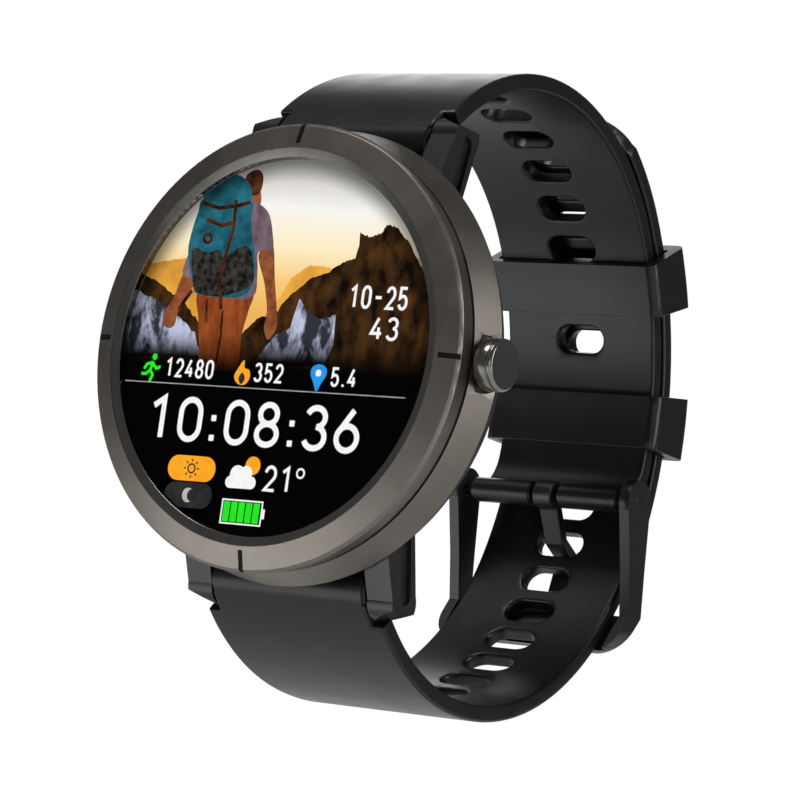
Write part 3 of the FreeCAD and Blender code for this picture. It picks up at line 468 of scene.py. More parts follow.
def flat_strap(outline, holes):
    """Flat strap with rounded rims: a filled curve given thickness."""
    curve = bpy.data.curves.new("flat_strap", "CURVE")
    curve.dimensions = "2D"
    curve.fill_mode = "BOTH"
    curve.extrude = (strap_thickness / 2 - edge_round) * MM
    curve.bevel_depth = edge_round * MM
    curve.bevel_resolution = 2
    curve.offset = -edge_round * MM
    for points in [outline] + holes:
        spline = curve.splines.new("POLY")
        spline.points.add(len(points) - 1)
        for target, (s, x) in zip(spline.points, points):
            target.co = (s * MM, x * MM, 0.0, 1.0)
        spline.use_cyclic_u = True
    return mesh_of(curve)


def bend(mesh, route, thickness_at):
    """Cuts a flat strap into short steps and lays it along its route."""
    bm = bmesh.new()
    bm.from_mesh(mesh)
    bmesh.ops.remove_doubles(bm, verts=bm.verts, dist=0.001 * MM)
    for i in range(1, int(route.total / bend_step)):
        geometry = bm.verts[:] + bm.edges[:] + bm.faces[:]
        bmesh.ops.bisect_plane(bm, geom=geometry, plane_co=(i * bend_step * MM, 0, 0),
                               plane_no=(1, 0, 0), dist=0.00001 * MM)
    for vertex in bm.verts:
        s = vertex.co.x / MM
        depth = (strap_thickness / 2 - vertex.co.z / MM) * thickness_at(s) / strap_thickness
        (y, z), (out_y, out_z) = route.at(s)
        vertex.co = point(y - depth * out_y, z - depth * out_z, vertex.co.y / MM)
    bmesh.ops.recalc_face_normals(bm, faces=bm.faces)
    if bm.calc_volume(signed=True) < 0:
        bmesh.ops.reverse_faces(bm, faces=bm.faces)
    bm.to_mesh(mesh)
    bm.free()


def round_bar(radius, half, centre, edge):
    """Closed bar along X with rounded rims, as a mesh in metres."""
    bm = bmesh.new()
    turned = Matrix.Translation(point(*centre)) @ Matrix.Rotation(math.pi / 2, 4, "Y")
    bmesh.ops.create_cone(bm, cap_ends=True, segments=64, radius1=radius * MM, radius2=radius * MM,
                          depth=2 * half * MM, matrix=turned)
    rims = [e for e in bm.edges if abs(e.verts[0].co.x - e.verts[1].co.x) < 0.0001 * MM]
    bmesh.ops.bevel(bm, geom=rims, offset=edge * MM, segments=3, affect="EDGES")
    return mesh_from("round_bar", bm)


def cut(piece, mesh):
    """Cuts a closed mesh out of a piece."""
    tool = new_object("tool", mesh)
    modifier = piece.modifiers.new("cut", "BOOLEAN")
    modifier.object = tool
    modifier.operation = "DIFFERENCE"
    modifier.solver = "EXACT"
    bpy.context.view_layer.update()
    graph = bpy.context.evaluated_depsgraph_get()
    made = bpy.data.meshes.new_from_object(piece.evaluated_get(graph))
    bpy.data.objects.remove(piece)
    bpy.data.objects.remove(tool)
    return made


def neck(bar, bore):
    """Round end of a strap, bored for its spring bar, with a window for the release knob."""
    body = new_object("neck", round_bar(neck_r, neck_half, bar, neck_edge))
    body = new_object("neck", cut(body, round_bar(bore, neck_half + 1, bar, bore_edge)))
    return cut(body, knob_window(bar))


def add_shells(mesh, shells):
    """Puts more closed shells into a mesh."""
    bm = bmesh.new()
    bm.from_mesh(mesh)
    for shell in shells:
        bm.from_mesh(shell)
    bm.to_mesh(mesh)
    bm.free()


def thickness_front(s):
    """The long strap thins to its tail just past its flex line."""
    start = long_route.before(1, -flex_angle)
    share = min(max((s - start) / tail_thinning, 0.0), 1.0)
    return strap_thickness + share * (tail_thickness - strap_thickness)


def short_strap(finish):
    """One strap from the buckle's hinge to the 12 o'clock spring bar."""
    route = short_route
    shoulder = shoulder_length(route, upper_bar, True)
    right = side_line(route, 0.0, shoulder)
    right[-1:] = [(shoulder, right[-1][1]), (shoulder, neck_half), (route.total, neck_half)]
    notch = [(notch_depth, notch_half), (0.0, notch_half)]
    outline = ([(0.0, -notch_half), (notch_depth, -notch_half)] + notch + right
               + [(s, -x) for s, x in reversed(right)])
    start = route.before(2, upper_corner_angle
                         + math.degrees(short_slot_start / (upper_corner_r - strap_thickness)))
    holes = [slot_outline(start - i * short_slot_pitch) for i in range(short_slots)]
    mesh = flat_strap(outline, holes)
    bend(mesh, route, lambda s: strap_thickness)
    length = (back_half - notch_half) / 2
    knuckles = [round_bar(strap_end_r, length, (*hinge, side * (notch_half + length)), knuckle_edge)
                for side in (-1, 1)]
    add_shells(mesh, [neck(upper_bar, upper_bore)] + knuckles)
    piece = new_object("short_strap", mesh)
    dress_strap(piece, finish)
    flex_place = route.at(route.before(2, flex_angle))[0]
    blend_at(piece)
    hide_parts("strap_short_front", "strap_short_rear")


def knob_window(bar):
    """Opening in a neck for the release knob."""
    bm = bmesh.new()
    size = Vector(window_size) * MM
    place = point(bar[0] + window_back, bar[1], knob_x - window_inset)
    bmesh.ops.create_cube(bm, size=1.0, matrix=Matrix.Translation(place) @ Matrix.Diagonal((*size, 1)))
    return mesh_from("window", bm)


def long_strap(finish):
    """One strap from the 6 o'clock spring bar, round the back, to its tip."""
    route = long_route
    shoulder = shoulder_length(route, lower_bar, False)
    tip = route.total
    right = [(0.0, neck_half), (shoulder, neck_half)] + side_line(route, shoulder, tip - tail_tip_r)
    corner = bow(tip - tail_tip_r, back_half - tail_tip_r, tail_tip_r, tail_tip_r, 90, 0, 14)
    right += corner[1:]
    outline = right + [(s, -x) for s, x in reversed(right)]
    first = route.before(2, long_slot_angle)
    holes = [slot_outline(first + i * long_slot_pitch)
             for i in range(-long_slots_forward, long_slots - long_slots_forward)]
    mesh = flat_strap(outline, holes)
    bend(mesh, route, thickness_front)
    add_shells(mesh, [neck(lower_bar, lower_bore)])
    piece = new_object("long_strap", mesh)
    dress_strap(piece, finish)
    flex_place = route.at(route.before(1, -flex_angle))[0]
    blend_at(piece)
    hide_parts("strap_long_front", "strap_long_rear")


def dress_strap(piece, finish):
    piece.data.materials.clear()
    piece.data.materials.append(finish)
    for face in piece.data.polygons:
        face.material_index = 0
    smooth(piece.data)
    weighted(piece)


def blend_at(piece):
    """Bakes a strap's placement into its mesh."""
    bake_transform(piece)


# ---------------------------------------------------------------- springs
def spring(name, node, body, wire, turns, finish):
    """Coil that fills a CAD node's box along X, from its left end, fixed to a body."""
    low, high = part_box(node)
    centre = (low + high) / 2
    radius = (high.y - low.y) / 2 - wire * MM
    reach = high.x - low.x - 2 * wire * MM
    curve = bpy.data.curves.new(name, "CURVE")
    curve.dimensions = "3D"
    curve.bevel_depth = wire * MM
    curve.bevel_resolution = 3
    curve.use_fill_caps = True
    steps = int(turns * spring_steps)
    spline = curve.splines.new("POLY")
    spline.points.add(steps)
    for i, target in enumerate(spline.points):
        turn = 2 * math.pi * turns * i / steps
        x = low.x + wire * MM + reach * i / steps
        target.co = (x, centre.y + radius * math.cos(turn), centre.z + radius * math.sin(turn), 1.0)
    mesh = mesh_of(curve)
    mesh.materials.clear()
    mesh.materials.append(finish)
    smooth(mesh, 60.0)
    piece = new_object(name, mesh)
    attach(piece, body)
    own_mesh(piece)
    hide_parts(node)


def springs(finish):
    spring("crown_coil", "crown_spring", "case",
           crown_wire, crown_turns, finish)
    spring("upper_bar_coil", "release_spring_upper", "upper_band",
           bar_wire, bar_turns, finish)
    spring("lower_bar_coil", "release_spring_lower", "case",
           bar_wire, bar_turns, finish)


# ---------------------------------------------------------------- glass and display
case_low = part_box("bezel_ring")[0]
glass_low, glass_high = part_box("cover_glass")
display_low, display_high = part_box("display_module")
glass_r = glass_high.x / MM
glass_top = glass_low.y / MM
display_r = display_high.x / MM
display_front = display_low.y / MM
display_back = display_high.y / MM
picture_y = glass_top + picture_depth
picture_r = glass_r - picture_gap


def case_piece(name, bm, finish):
    """Closed piece on the case, from a bmesh."""
    bmesh.ops.recalc_face_normals(bm, faces=bm.faces)
    mesh = mesh_from(name, bm)
    mesh.materials.append(finish)
    piece = new_object(name, mesh)
    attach(piece, "case")
    return piece


def lathe(name, profile, finish):
    """Closed body of revolution about Y from a (radius, y) outline that starts and ends on the axis."""
    steps = 128
    bm = bmesh.new()
    rings = []
    for radius, y in profile:
        if radius == 0:
            rings.append([bm.verts.new(point(y, 0))])
            continue
        turns = [2 * math.pi * i / steps for i in range(steps)]
        rings.append([bm.verts.new(point(y, radius * math.sin(t), radius * math.cos(t))) for t in turns])
    for a, b in zip(rings, rings[1:]):
        for i in range(steps):
            corners = [a[i % len(a)], a[(i + 1) % len(a)], b[(i + 1) % len(b)], b[i % len(b)]]
            bm.faces.new(list(dict.fromkeys(corners)))
    piece = case_piece(name, bm, finish)
    smooth(piece.data)
    return piece


def clipped(outline):
    """Part of an (x, z) outline that lies on the round picture."""
    sides = 120
    kept = outline
    for i in range(sides):
        turn = 2 * math.pi * i / sides
        nx, nz = math.cos(turn), math.sin(turn)
        reach = [picture_r - 0.02 - x * nx - z * nz for x, z in kept]
        made = []
        for j, (here, now) in enumerate(zip(kept, reach)):
            before, last = kept[j - 1], reach[j - 1]
            if (now >= 0) != (last >= 0):
                share = last / (last - now)
                made.append(tuple(before[k] + share * (here[k] - before[k]) for k in (0, 1)))
            if now >= 0:
                made.append(here)
        kept = made
    return kept


def thicken(bm, faces):
    """Gives flat faces the depth of one plate, away from the eye."""
    pushed = bmesh.ops.extrude_face_region(bm, geom=faces)["geom"]
    moved = [g for g in pushed if isinstance(g, bmesh.types.BMVert)]
    bmesh.ops.translate(bm, verts=moved, vec=(0, plate_depth * MM, 0))


def display_piece(name, bm, finish):
    piece = case_piece(name, bm, finish)


def plates(name, outlines, level, finish):
    """Thin closed plates of (x, z) outlines on one level of the picture."""
    bm = bmesh.new()
    front = picture_y - level * layer
    for outline in outlines:
        face = bm.faces.new([bm.verts.new(point(front, z, x)) for x, z in clipped(outline)])
        thicken(bm, [face])
    display_piece(name, bm, finish)


def strokes(name, lines, width, level, finish):
    """Thin closed lines of even width: (points, closed) runs in (x, z)."""
    bm = bmesh.new()
    front = picture_y - level * layer
    for points, closed in lines:
        count = len(points)
        rows = []
        for i, (x, z) in enumerate(points):
            back_x, back_z = points[i - 1] if closed or i > 0 else points[i]
            next_x, next_z = points[(i + 1) % count] if closed or i < count - 1 else points[i]
            first = Vector((x - back_x, z - back_z))
            second = Vector((next_x - x, next_z - z))
            first = (first if first.length > 0 else second).normalized()
            second = (second if second.length > 0 else first).normalized()
            middle = (first + second).normalized()
            reach = width / 2 / max(middle.dot(first), 0.5)
            side = Vector((-middle.y, middle.x)) * reach
            rows.append([bm.verts.new(point(front, z + s * side.y, x + s * side.x)) for s in (1, -1)])
        pairs = zip(rows, rows[1:] + rows[:1]) if closed else zip(rows, rows[1:])
        thicken(bm, [bm.faces.new([a[0], a[1], b[1], b[0]]) for a, b in pairs])
    display_piece(name, bm, finish)


def whole(cx, cz, rx, rz, count=24):
    return bow(cx, cz, rx, rz, 0, 360 - 360 / count, count - 1)


def digit_lines(sign):
    """Strokes of one digit or mark, in a box one unit wide and high."""
    return {
        "0": [(bow(0.5, 0.68, 0.5, 0.32, 0, 180) + bow(0.5, 0.32, 0.5, 0.32, 180, 360), True)],
        "1": [([(0.1, 0.8), (0.6, 1.0), (0.6, 0.0)], False)],
        "2": [(bow(0.5, 0.7, 0.48, 0.3, 170, -38) + [(0.02, 0.0), (1.0, 0.0)], False)],
        "3": [(bow(0.46, 0.76, 0.44, 0.24, 160, -80), False), (bow(0.46, 0.27, 0.5, 0.27, 85, -160), False)],
        "4": [([(0.66, 1.0), (0.0, 0.26), (1.05, 0.26)], False), ([(0.74, 0.55), (0.74, 0.0)], False)],
        "5": [([(0.92, 1.0), (0.12, 1.0), (0.07, 0.52)] + bow(0.48, 0.31, 0.5, 0.31, 130, -160), False)],
        "6": [(whole(0.5, 0.3, 0.5, 0.3), True), ([(0.72, 1.0), (0.05, 0.42)], False)],
        "7": [([(0.0, 1.0), (1.0, 1.0), (0.34, 0.0)], False)],
        "8": [(whole(0.5, 0.76, 0.42, 0.24), True), (whole(0.5, 0.26, 0.5, 0.26), True)],
        "9": [(whole(0.5, 0.7, 0.5, 0.3), True), ([(0.28, 0.0), (0.95, 0.58)], False)],
        ":": [([(0.5, 0.0), (0.5, 0.15)], False), ([(0.5, 0.5), (0.5, 0.65)], False)],
        ".": [([(0.5, -0.04), (0.5, 0.1)], False)],
        "-": [([(0.1, 0.5), (0.9, 0.5)], False)],
    }[sign]


def number(name, text, x, z, high, wide, gap, stroke, level, finish):
    """Row of digits whose lower left corner is at (x, z)."""
    lines = []
    left = x + stroke / 2
    for sign in text:
        share = 0.3 if sign in ":." else 1.0
        box = (wide - stroke) * share
        for points, closed in digit_lines(sign):
            placed = [(left + u * box, z + stroke / 2 + v * (high - stroke)) for u, v in points]
            lines.append((placed, closed))
        left += box + stroke + gap
    strokes(name, lines, stroke, level, finish)


def soft_outline(points, steps=5):
    """Closed smooth line through a few points."""
    made = []
    count = len(points)
    for i in range(count):
        a, b, c, d = (points[(i + k) % count] for k in (-1, 0, 1, 2))
        for j in range(steps):
            t = j / steps
            weights = (-0.5 * t + t * t - 0.5 * t ** 3, 1 - 2.5 * t * t + 1.5 * t ** 3,
                       0.5 * t + 2 * t * t - 1.5 * t ** 3, -0.5 * t * t + 0.5 * t ** 3)
            made.append(tuple(sum(w * p[k] for w, p in zip(weights, (a, b, c, d))) for k in (0, 1)))
    return made


def crag(points, roughness, seed, steps=14):
    """Jagged line along a few points."""
    chance = random.Random(seed)
    made = []
    for (ax, az), (bx, bz) in zip(points, points[1:]):
        for j in range(steps):
            t = j / steps
            jump = chance.uniform(-roughness, roughness) * (1 if j else 0.3)
            made.append((ax + t * (bx - ax), az + t * (bz - az) + jump))
    return made + [points[-1]]


def scene_light(name, dark, light, scale, spots=(0.4, 0.6), fade=(-2.6, 1.8), squash_z=1.0):
    """Lit picture colour mixed by noise, that fades to black low down and dims at the rim."""
    made = material(name, (0.0, 0.0, 0.0), 0.5, Specular_IOR_Level=0.0)
    tree = made.node_tree
    nodes, links = tree.nodes, tree.links
    place = nodes.new("ShaderNodeTexCoord")
    stretch = nodes.new("ShaderNodeMapping")
    stretch.inputs["Scale"].default_value = (1.0, 1.0, squash_z)
    stretch.inputs["Rotation"].default_value = (0.0, 0.5, 0.0)
    links.new(place.outputs["Object"], stretch.inputs["Vector"])
    noise = nodes.new("ShaderNodeTexNoise")
    noise.inputs["Scale"].default_value = scale
    noise.inputs["Detail"].default_value = 6.0
    noise.inputs["Roughness"].default_value = 0.62
    links.new(stretch.outputs["Vector"], noise.inputs["Vector"])
    ramp = nodes.new("ShaderNodeValToRGB")
    ramp.color_ramp.elements[0].position = spots[0]
    ramp.color_ramp.elements[0].color = (*dark, 1.0)
    ramp.color_ramp.elements[1].position = spots[1]
    ramp.color_ramp.elements[1].color = (*light, 1.0)
    links.new(noise.outputs["Fac"], ramp.inputs["Fac"])
    parts = nodes.new("ShaderNodeSeparateXYZ")
    links.new(place.outputs["Object"], parts.inputs["Vector"])
    low = nodes.new("ShaderNodeMapRange")
    low.interpolation_type = "SMOOTHSTEP"
    low.inputs["From Min"].default_value = fade[0] * MM
    low.inputs["From Max"].default_value = fade[1] * MM
    links.new(parts.outputs["Z"], low.inputs["Value"])
    flat = nodes.new("ShaderNodeCombineXYZ")
    links.new(parts.outputs["X"], flat.inputs["X"])
    links.new(parts.outputs["Z"], flat.inputs["Z"])
    reach = nodes.new("ShaderNodeVectorMath")
    reach.operation = "LENGTH"
    links.new(flat.outputs["Vector"], reach.inputs[0])
    rim = nodes.new("ShaderNodeMapRange")
    rim.interpolation_type = "SMOOTHSTEP"
    rim.inputs["From Min"].default_value = fade_start_r * MM
    rim.inputs["From Max"].default_value = picture_r * MM
    rim.inputs["To Min"].default_value = 1.0
    rim.inputs["To Max"].default_value = rim_light
    links.new(reach.outputs["Value"], rim.inputs["Value"])
    both = nodes.new("ShaderNodeMath")
    both.operation = "MULTIPLY"
    links.new(low.outputs["Result"], both.inputs[0])
    links.new(rim.outputs["Result"], both.inputs[1])
    shader = nodes["Principled BSDF"]
    links.new(ramp.outputs["Color"], shader.inputs["Emission Color"])
    links.new(both.outputs["Value"], shader.inputs["Emission Strength"])
    return made


def sky_light():
    """Pale sky that warms towards the hills, black low down."""
    made = scene_light("picture_sky_light", (0.9, 0.55, 0.2), (0.9, 0.55, 0.2), 60.0)
    tree = made.node_tree
    ramp = tree.nodes["Color Ramp"]
    elements = ramp.color_ramp.elements
    elements[0].position = 0.0
    elements[0].color = (0.85, 0.42, 0.08, 1.0)
    elements[1].position = 1.0
    elements[1].color = (0.62, 0.6, 0.57, 1.0)
    between = ((0.3, (0.95, 0.6, 0.2)), (0.52, (1.0, 0.85, 0.55)), (0.78, (0.95, 0.93, 0.88)))
    for position, colour in between:
        elements.new(position).color = (*colour, 1.0)
    height = tree.nodes.new("ShaderNodeMapRange")
    height.inputs["From Min"].default_value = 3.5 * MM
    height.inputs["From Max"].default_value = 19.0 * MM
    tree.links.new(tree.nodes["Separate XYZ"].outputs["Z"], height.inputs["Value"])
    blur = tree.nodes.new("ShaderNodeMath")
    blur.operation = "MULTIPLY_ADD"
    blur.inputs[1].default_value = 0.16
    tree.links.new(tree.nodes["Noise Texture"].outputs["Fac"], blur.inputs[0])
    tree.links.new(height.outputs["Result"], blur.inputs[2])
    tree.links.new(blur.outputs["Value"], ramp.inputs["Fac"])
    return made


def picture():
    """The lit scene behind the walker: sky, hills and snow, black below."""
    disc = lathe("picture_disc", [(0, picture_y), (picture_r, picture_y), (picture_r, display_front),
                                  (display_r, display_front), (display_r, display_back), (0, display_back)],
                 sky_light())
    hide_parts("display_module")
    hill = scene_light("picture_hill_light", (0.55, 0.24, 0.03), (0.85, 0.42, 0.06), 120.0)
    far = [crag([(-19.6, 7.6), (-16.1, 8.4), (-12.2, 8.9), (-9.0, 6.0)], 0.08, 5) + [(-9.0, -3), (-19.6, -3)],
           crag([(-2.6, 2.4), (-0.3, 5.0), (0.9, 7.2), (3.0, 8.5), (4.8, 8.5), (7.5, 7.8)], 0.08, 6)
           + [(7.5, -3), (-2.6, -3)]]
    plates("picture_far_hills", far, 1, hill)
    rock = scene_light("picture_rock_light", (0.005, 0.003, 0.002), (0.1, 0.042, 0.011), 520.0,
                       (0.38, 0.72), squash_z=0.6)
    right = crag([(-4.6, 1.0), (-2.8, 2.8), (-0.4, 3.6), (1.0, 5.4), (3.2, 7.1), (5.6, 7.9), (7.1, 9.0),
                  (8.5, 9.3), (8.8, 10.7), (8.7, 12.1), (10.0, 11.6), (11.4, 12.1), (11.9, 12.9),
                  (13.1, 12.7), (14.9, 11.2), (17.2, 8.0)], 0.13, 11, 7)
    left = crag([(-19.8, 7.6), (-16.1, 6.0), (-12.6, 4.2), (-10.3, 2.2), (-8.0, -0.9)], 0.16, 12, 9)
    ridges = [right + [(19.4, 6), (19.4, -3), (-4.6, -3)], left + [(-8.0, -3), (-20, -3)]]
    plates("picture_ridges", ridges, 2, rock)
    white = scene_light("picture_snow_light", (0.03, 0.032, 0.045), (0.52, 0.56, 0.72), 420.0, (0.44, 0.56),
                        (-1.6, 1.6), squash_z=0.5)
    slopes = [crag([(2.3, 5.1), (3.4, 3.8), (5.4, 3.1), (7.1, 3.6), (7.3, 0.5), (6.3, -1.8), (-2.4, -1.8),
                    (-0.2, 1.3), (1.6, 2.0), (2.0, 3.8)], 0.14, 21, 5),
              crag([(-20.3, 5.3), (-16.8, 4.6), (-13.3, 2.7), (-10.6, 1.1), (-9.4, -1.4), (-19.5, -1.8)],
                   0.18, 22, 6)]
    plates("picture_snow", slopes, 3, white)


def walker():
    """Walker with a rucksack, seen from behind, in flat lit layers."""
    trousers = scene_light("picture_trousers_light", (0.13, 0.026, 0.007), (0.38, 0.09, 0.02), 750.0,
                           (0.35, 0.7), (-3.0, 1.4), squash_z=0.35)
    skin = scene_light("picture_skin_light", (0.17, 0.045, 0.018), (0.38, 0.12, 0.045), 900.0, (0.35, 0.7))
    shirt = scene_light("picture_shirt_light", (0.1, 0.065, 0.085), (0.25, 0.17, 0.21), 800.0, (0.35, 0.7),
                        squash_z=0.5)
    hair = scene_light("picture_hair_light", (0.02, 0.007, 0.003), (0.14, 0.05, 0.015), 700.0, (0.35, 0.7))
    pack = scene_light("picture_pack_light", (0.008, 0.07, 0.1), (0.022, 0.17, 0.23), 650.0, (0.36, 0.66))
    net = scene_light("picture_net_light", (0.006, 0.006, 0.007), (0.06, 0.055, 0.045), 1300.0, (0.4, 0.66))
    strap = scene_light("picture_strap_light", (0.02, 0.005, 0.003), (0.09, 0.025, 0.01), 600.0)
    plates("walker_trousers", [
        soft_outline([(-10.6, 5.6), (-4.1, 5.6), (-4.0, 3.5), (-4.4, 1.2), (-4.4, -2.2), (-5.6, -4.0),
                      (-7.2, -3.6), (-7.1, -0.4), (-7.4, -3.6), (-9.2, -3.4), (-9.7, -0.6),
                      (-10.3, 2.4)])], 4, trousers)
    plates("walker_arms", [
        soft_outline([(-2.1, 10.6), (-1.2, 7.0), (-0.4, 3.9), (-0.1, 2.2), (-0.6, 1.0), (-1.1, 0.8),
                      (-1.7, 1.9), (-1.6, 3.6), (-2.4, 6.4), (-3.7, 9.4)]),
        soft_outline([(-12.4, 8.8), (-13.3, 6.8), (-14.0, 4.6), (-14.9, 3.1), (-14.9, 1.9), (-14.2, 1.4),
                      (-13.4, 1.7), (-13.1, 3.2), (-12.2, 5.0), (-11.4, 6.6)])], 4, skin)
    plates("walker_neck", [soft_outline([(-5.9, 16.4), (-4.7, 16.2), (-4.4, 14.5), (-6.0, 14.2)])], 5, skin)
    plates("walker_shirt", [
        soft_outline([(-6.0, 14.8), (-4.6, 14.7), (-3.1, 13.7), (-2.3, 11.8), (-2.0, 9.9), (-3.7, 9.7),
                      (-3.5, 7.6), (-3.5, 5.2), (-6.0, 5.0), (-6.4, 9.0)]),
        soft_outline([(-12.2, 10.2), (-12.9, 9.0), (-13.2, 7.2), (-12.0, 6.8), (-11.0, 8.8)])], 6, shirt)
    plates("walker_head", [soft_outline([(-5.6, 18.2), (-6.7, 17.5), (-6.5, 16.0), (-5.6, 15.5), (-4.6, 15.9),
                                         (-4.4, 17.2), (-4.8, 18.0)])], 7, hair)
    plates("walker_pack", [
        soft_outline([(-11.5, 15.2), (-12.3, 13.6), (-12.8, 11.4), (-12.9, 9.6), (-12.4, 8.0), (-11.6, 6.0),
                      (-10.9, 5.1), (-7.6, 4.8), (-4.9, 5.1), (-3.9, 6.3), (-3.9, 8.6), (-4.7, 11.0),
                      (-5.3, 13.2), (-5.7, 15.0)])], 8, pack)
    plates("walker_lid", [
        soft_outline([(-11.5, 14.6), (-11.9, 15.8), (-11.4, 17.0), (-10.2, 17.6), (-8.2, 17.7), (-6.7, 17.2),
                      (-5.8, 16.2), (-5.6, 14.9), (-7.0, 14.4), (-9.6, 14.2)])], 9, pack)
    plates("walker_net", [
        soft_outline([(-12.3, 9.8), (-10.4, 9.4), (-8.8, 9.7), (-8.1, 9.0), (-6.4, 10.0), (-5.0, 10.1),
                      (-4.1, 8.3), (-4.1, 6.2), (-7.5, 5.0), (-10.9, 5.2), (-11.8, 6.8)])], 9, net)
    strokes("walker_straps", [([(-7.5, 15.0), (-7.3, 12.0), (-7.9, 9.0), (-8.2, 5.4)], False),
                              ([(-11.0, 12.9), (-9.0, 12.3), (-7.4, 12.6)], False),
                              ([(-11.8, 14.6), (-9.6, 14.1), (-7.2, 14.4), (-5.6, 14.8)], False),
                              ([(-11.6, 5.4), (-13.0, 3.4)], False),
                              ([(-7.8, 5.2), (-7.5, 3.6)], False)], 0.42, 10, strap)
    strokes("walker_creases", [([(-7.3, 3.4), (-7.1, 0.8), (-7.2, -2.0)], False),
                               ([(-9.6, 4.6), (-9.2, 2.2)], False)], 0.28, 5, strap)
    strokes("walker_patch", [(whole(-10.5, 10.9, 0.5, 0.45), True)], 0.36, 10, strap)


def readings():
    """Digits and plain signs: the date beside the picture, and the rows across its foot and below."""
    white = light_material("display_white", (0.95, 0.95, 0.95), (0.88, 0.88, 0.88))
    dark = light_material("display_dark", (0.03, 0.03, 0.03), (0.02, 0.02, 0.02))
    orange = light_material("display_orange", (1.0, 0.42, 0.02), (0.95, 0.37, 0.02))
    green = light_material("display_green", (0.02, 0.85, 0.02), (0.02, 0.75, 0.02))
    blue = light_material("display_blue", (0.02, 0.33, 0.85), (0.02, 0.28, 0.75))
    pale = light_material("display_pale", (0.5, 0.5, 0.5), (0.42, 0.42, 0.42))
    top = 11
    number("time", "10:08:36", -14.9, -10.3, 4.7, 3.15, 0.78, 0.62, top, white)
    for name, text, x in (("steps", "12480", -13.6), ("energy", "352", -2.0), ("distance", "5.4", 7.7)):
        number(name, text, x, -3.7, 2.0, 1.05, 0.27, 0.27, top, white)
    number("month_day", "10-25", 8.6, 4.3, 2.4, 1.22, 0.28, 0.32, top, white)
    number("week", "43", 11.7, 1.2, 2.4, 1.5, 0.5, 0.32, top, white)
    number("degrees", "21", 1.1, -14.7, 2.7, 1.6, 0.45, 0.34, top, white)
    strokes("degree_ring", [(whole(5.6, -12.6, 0.45, 0.45), True)], 0.2, top, white)
    strokes("rule", [([(-18.7, -4.35), (17.1, -4.35)], False)], 0.09, top, pale)
    plates("runner_head", [whole(-15.2, -1.7, 0.33, 0.36, 16)], top, green)
    strokes("runner", [([(-15.3, -2.2), (-15.6, -3.1), (-15.2, -3.6), (-15.5, -4.3)], False),
                       ([(-15.6, -3.1), (-16.1, -3.5), (-16.7, -3.5)], False),
                       ([(-15.4, -2.3), (-16.1, -2.5), (-16.4, -3.0)], False),
                       ([(-15.4, -2.4), (-14.8, -2.9), (-14.3, -2.7)], False)], 0.34, top, green)
    plates("flame", [soft_outline([(-3.5, -1.5), (-3.3, -2.3), (-2.7, -2.5), (-2.5, -3.3), (-3.0, -4.0),
                                   (-3.9, -4.0), (-4.5, -3.3), (-4.2, -2.5)])], top, orange)
    plates("flame_heart", [soft_outline([(-3.5, -2.8), (-3.1, -3.4), (-3.5, -4.0), (-3.9, -3.4)])],
           top + 1, dark)
    plates("pin", [soft_outline([(6.1, -1.5), (6.9, -1.8), (7.1, -2.5), (6.6, -3.4), (6.1, -4.3), (5.6, -3.4),
                                 (5.1, -2.5), (5.3, -1.8)])], top, blue)
    plates("pin_dot", [whole(6.1, -2.4, 0.36, 0.36, 16)], top + 1, white)
    for name, z, fill in (("day_pill", -12.95, orange), ("night_pill", -15.7, dark)):
        ends = bow(-6.5, z, 1.3, 1.3, -90, 90) + bow(-10.1, z, 1.3, 1.3, 90, 270)
        plates(name, [ends], top, fill)
    strokes("day_sign", [(whole(-8.3, -12.95, 0.45, 0.45), True)]
            + [([(-8.3 + 0.72 * math.cos(t), -12.95 + 0.72 * math.sin(t)),
                 (-8.3 + 0.98 * math.cos(t), -12.95 + 0.98 * math.sin(t))], False)
               for t in [math.pi * i / 4 for i in range(8)]], 0.16, top + 1, dark)
    moon = bow(-8.3, -15.7, 0.75, 0.75, 60, 300) + bow(-7.75, -15.7, 0.66, 0.66, 270, 95)
    plates("night_sign", [moon], top + 1, pale)
    plates("cloud_sun", [whole(-0.5, -12.2, 0.95, 0.95)], top, orange)
    plates("cloud", [whole(-2.3, -13.2, 0.95, 0.95), whole(-1.2, -13.0, 0.75, 0.75),
                     whole(-3.1, -14.0, 0.62, 0.62), whole(-0.5, -13.95, 0.66, 0.66)], top + 1, white)
    plates("cloud_foot", [[(-3.1, -14.62), (-0.5, -14.6), (-0.2, -13.8), (-1.2, -13.0), (-2.3, -13.0),
                           (-3.3, -13.8)]], top + 2, white)
    strokes("battery_frame", [([(-3.7, -15.8), (1.4, -15.8), (1.4, -18.2), (-3.7, -18.2)], True)],
            0.16, top, white)
    plates("battery_tip", [[(1.5, -16.5), (1.8, -16.5), (1.8, -17.5), (1.5, -17.5)]], top, white)
    cells = [-3.5 + 0.95 * i for i in range(5)]
    plates("battery_cells", [[(x, -15.98), (x + 0.8, -15.98), (x + 0.8, -18.02), (x, -18.02)] for x in cells],
           top, green)


def glass():
    """Clear disc over the picture, thinned behind to make room for it."""
    back = glass_top + glass_depth
    profile = [(0, glass_top), (glass_r - glass_edge, glass_top), (glass_r, glass_top + glass_edge),
               (glass_r, back), (0, back)]
    piece = lathe("clear_disc", profile, glass_material())
    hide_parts("cover_glass")


# ---------------------------------------------------------------- studio
def aim(holder, place, target):
    holder.location = place
    holder.rotation_euler = (Vector(target) - Vector(place)).to_track_quat("-Z", "Y").to_euler()


def area(name, place, target, wide, high, watts):
    data = bpy.data.lights.new(name, "AREA")
    data.shape = "RECTANGLE"
    data.size = wide
    data.size_y = high
    data.energy = watts
    lamp = bpy.data.objects.new(name, data)
    bpy.context.scene.collection.objects.link(lamp)
    aim(lamp, place, target)


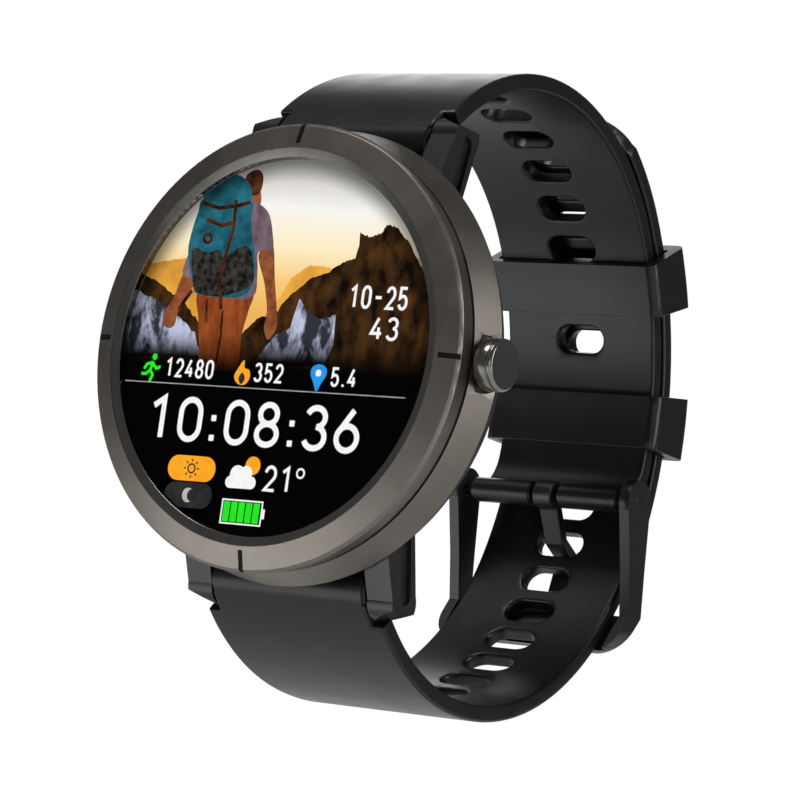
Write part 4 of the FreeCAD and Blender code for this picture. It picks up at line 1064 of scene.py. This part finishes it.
def camera():
    azimuth, elevation, roll = (math.radians(v) for v in (camera_azimuth, camera_elevation, camera_roll))
    back = Vector((math.sin(azimuth) * math.cos(elevation), -math.cos(azimuth) * math.cos(elevation),
                   math.sin(elevation)))
    level = Vector((math.cos(azimuth), math.sin(azimuth), 0.0))
    rise = back.cross(level)
    right = math.cos(roll) * level + math.sin(roll) * rise
    up = -math.sin(roll) * level + math.cos(roll) * rise
    crest = point(case_low.y / MM, 0.0)
    data = bpy.data.cameras.new("camera")
    data.lens = camera_lens
    data.sensor_width = sensor_width
    data.clip_start = 0.01
    holder = bpy.data.objects.new("camera", data)
    bpy.context.scene.collection.objects.link(holder)
    turn = Matrix((right, up, back)).transposed().to_4x4()
    place = crest + (back * camera_distance + right * camera_right + up * camera_up) * MM
    holder.matrix_world = Matrix.Translation(place) @ turn
    bpy.context.scene.camera = holder


def studio():
    """Pale floor, pale backdrop and soft lights."""
    pale = material("studio_pale", (0.93, 0.93, 0.93), 0.9)
    add_bump(pale, add_noise(pale, 40.0), 0.02)
    bm = bmesh.new()
    bmesh.ops.create_circle(bm, cap_ends=True, segments=96, radius=floor_r * MM)
    mesh = mesh_from("floor", bm)
    mesh.materials.append(pale)
    floor = new_object("floor", mesh)
    floor.location.z = floor_z * MM
    floor.visible_shadow = False
    glow = bpy.data.materials.new("backdrop_light")
    glow.use_nodes = True
    shader = glow.node_tree.nodes["Principled BSDF"]
    shader.inputs["Base Color"].default_value = (0.0, 0.0, 0.0, 1.0)
    shader.inputs["Emission Color"].default_value = (1.0, 1.0, 1.0, 1.0)
    shader.inputs["Emission Strength"].default_value = 1.0
    bm = bmesh.new()
    bmesh.ops.create_icosphere(bm, subdivisions=4, radius=dome_r * MM)
    mesh = mesh_from("backdrop", bm)
    mesh.materials.append(glow)
    dome = new_object("backdrop", mesh)
    dome.visible_diffuse = False
    dome.visible_glossy = False
    dome.visible_transmission = False
    dome.visible_shadow = False
    world = bpy.data.worlds.new("studio_world")
    world.use_nodes = True
    world.node_tree.nodes["Background"].inputs["Color"].default_value = (1.0, 1.0, 1.0, 1.0)
    world.node_tree.nodes["Background"].inputs["Strength"].default_value = world_light
    bpy.context.scene.world = world
    bpy.context.scene.view_settings.view_transform = "Standard"
    middle = (0.0, 0.01, 0.0)
    area("key_light", (-0.15, -0.35, 0.85), middle, 0.5, 0.35, 5.0)
    area("front_light", (0.75, -0.75, -0.25), middle, 0.22, 0.8, 1.3)
    area("side_light", (0.95, 0.05, 0.25), middle, 0.2, 0.9, 6.0)
    area("back_light", (-0.5, 0.8, 0.35), middle, 0.5, 0.8, 3.0)
    area("low_light", (-0.52, -0.64, -0.4), middle, 0.3, 0.2, 2.6)


# ---------------------------------------------------------------- the whole watch
finishes = solid_materials()
finish_nodes(finishes)
short_strap(finishes["strap_black"])
long_strap(finishes["strap_black"])
springs(finishes["bright_steel"])
picture()
walker()
readings()
glass()
camera()
studio()
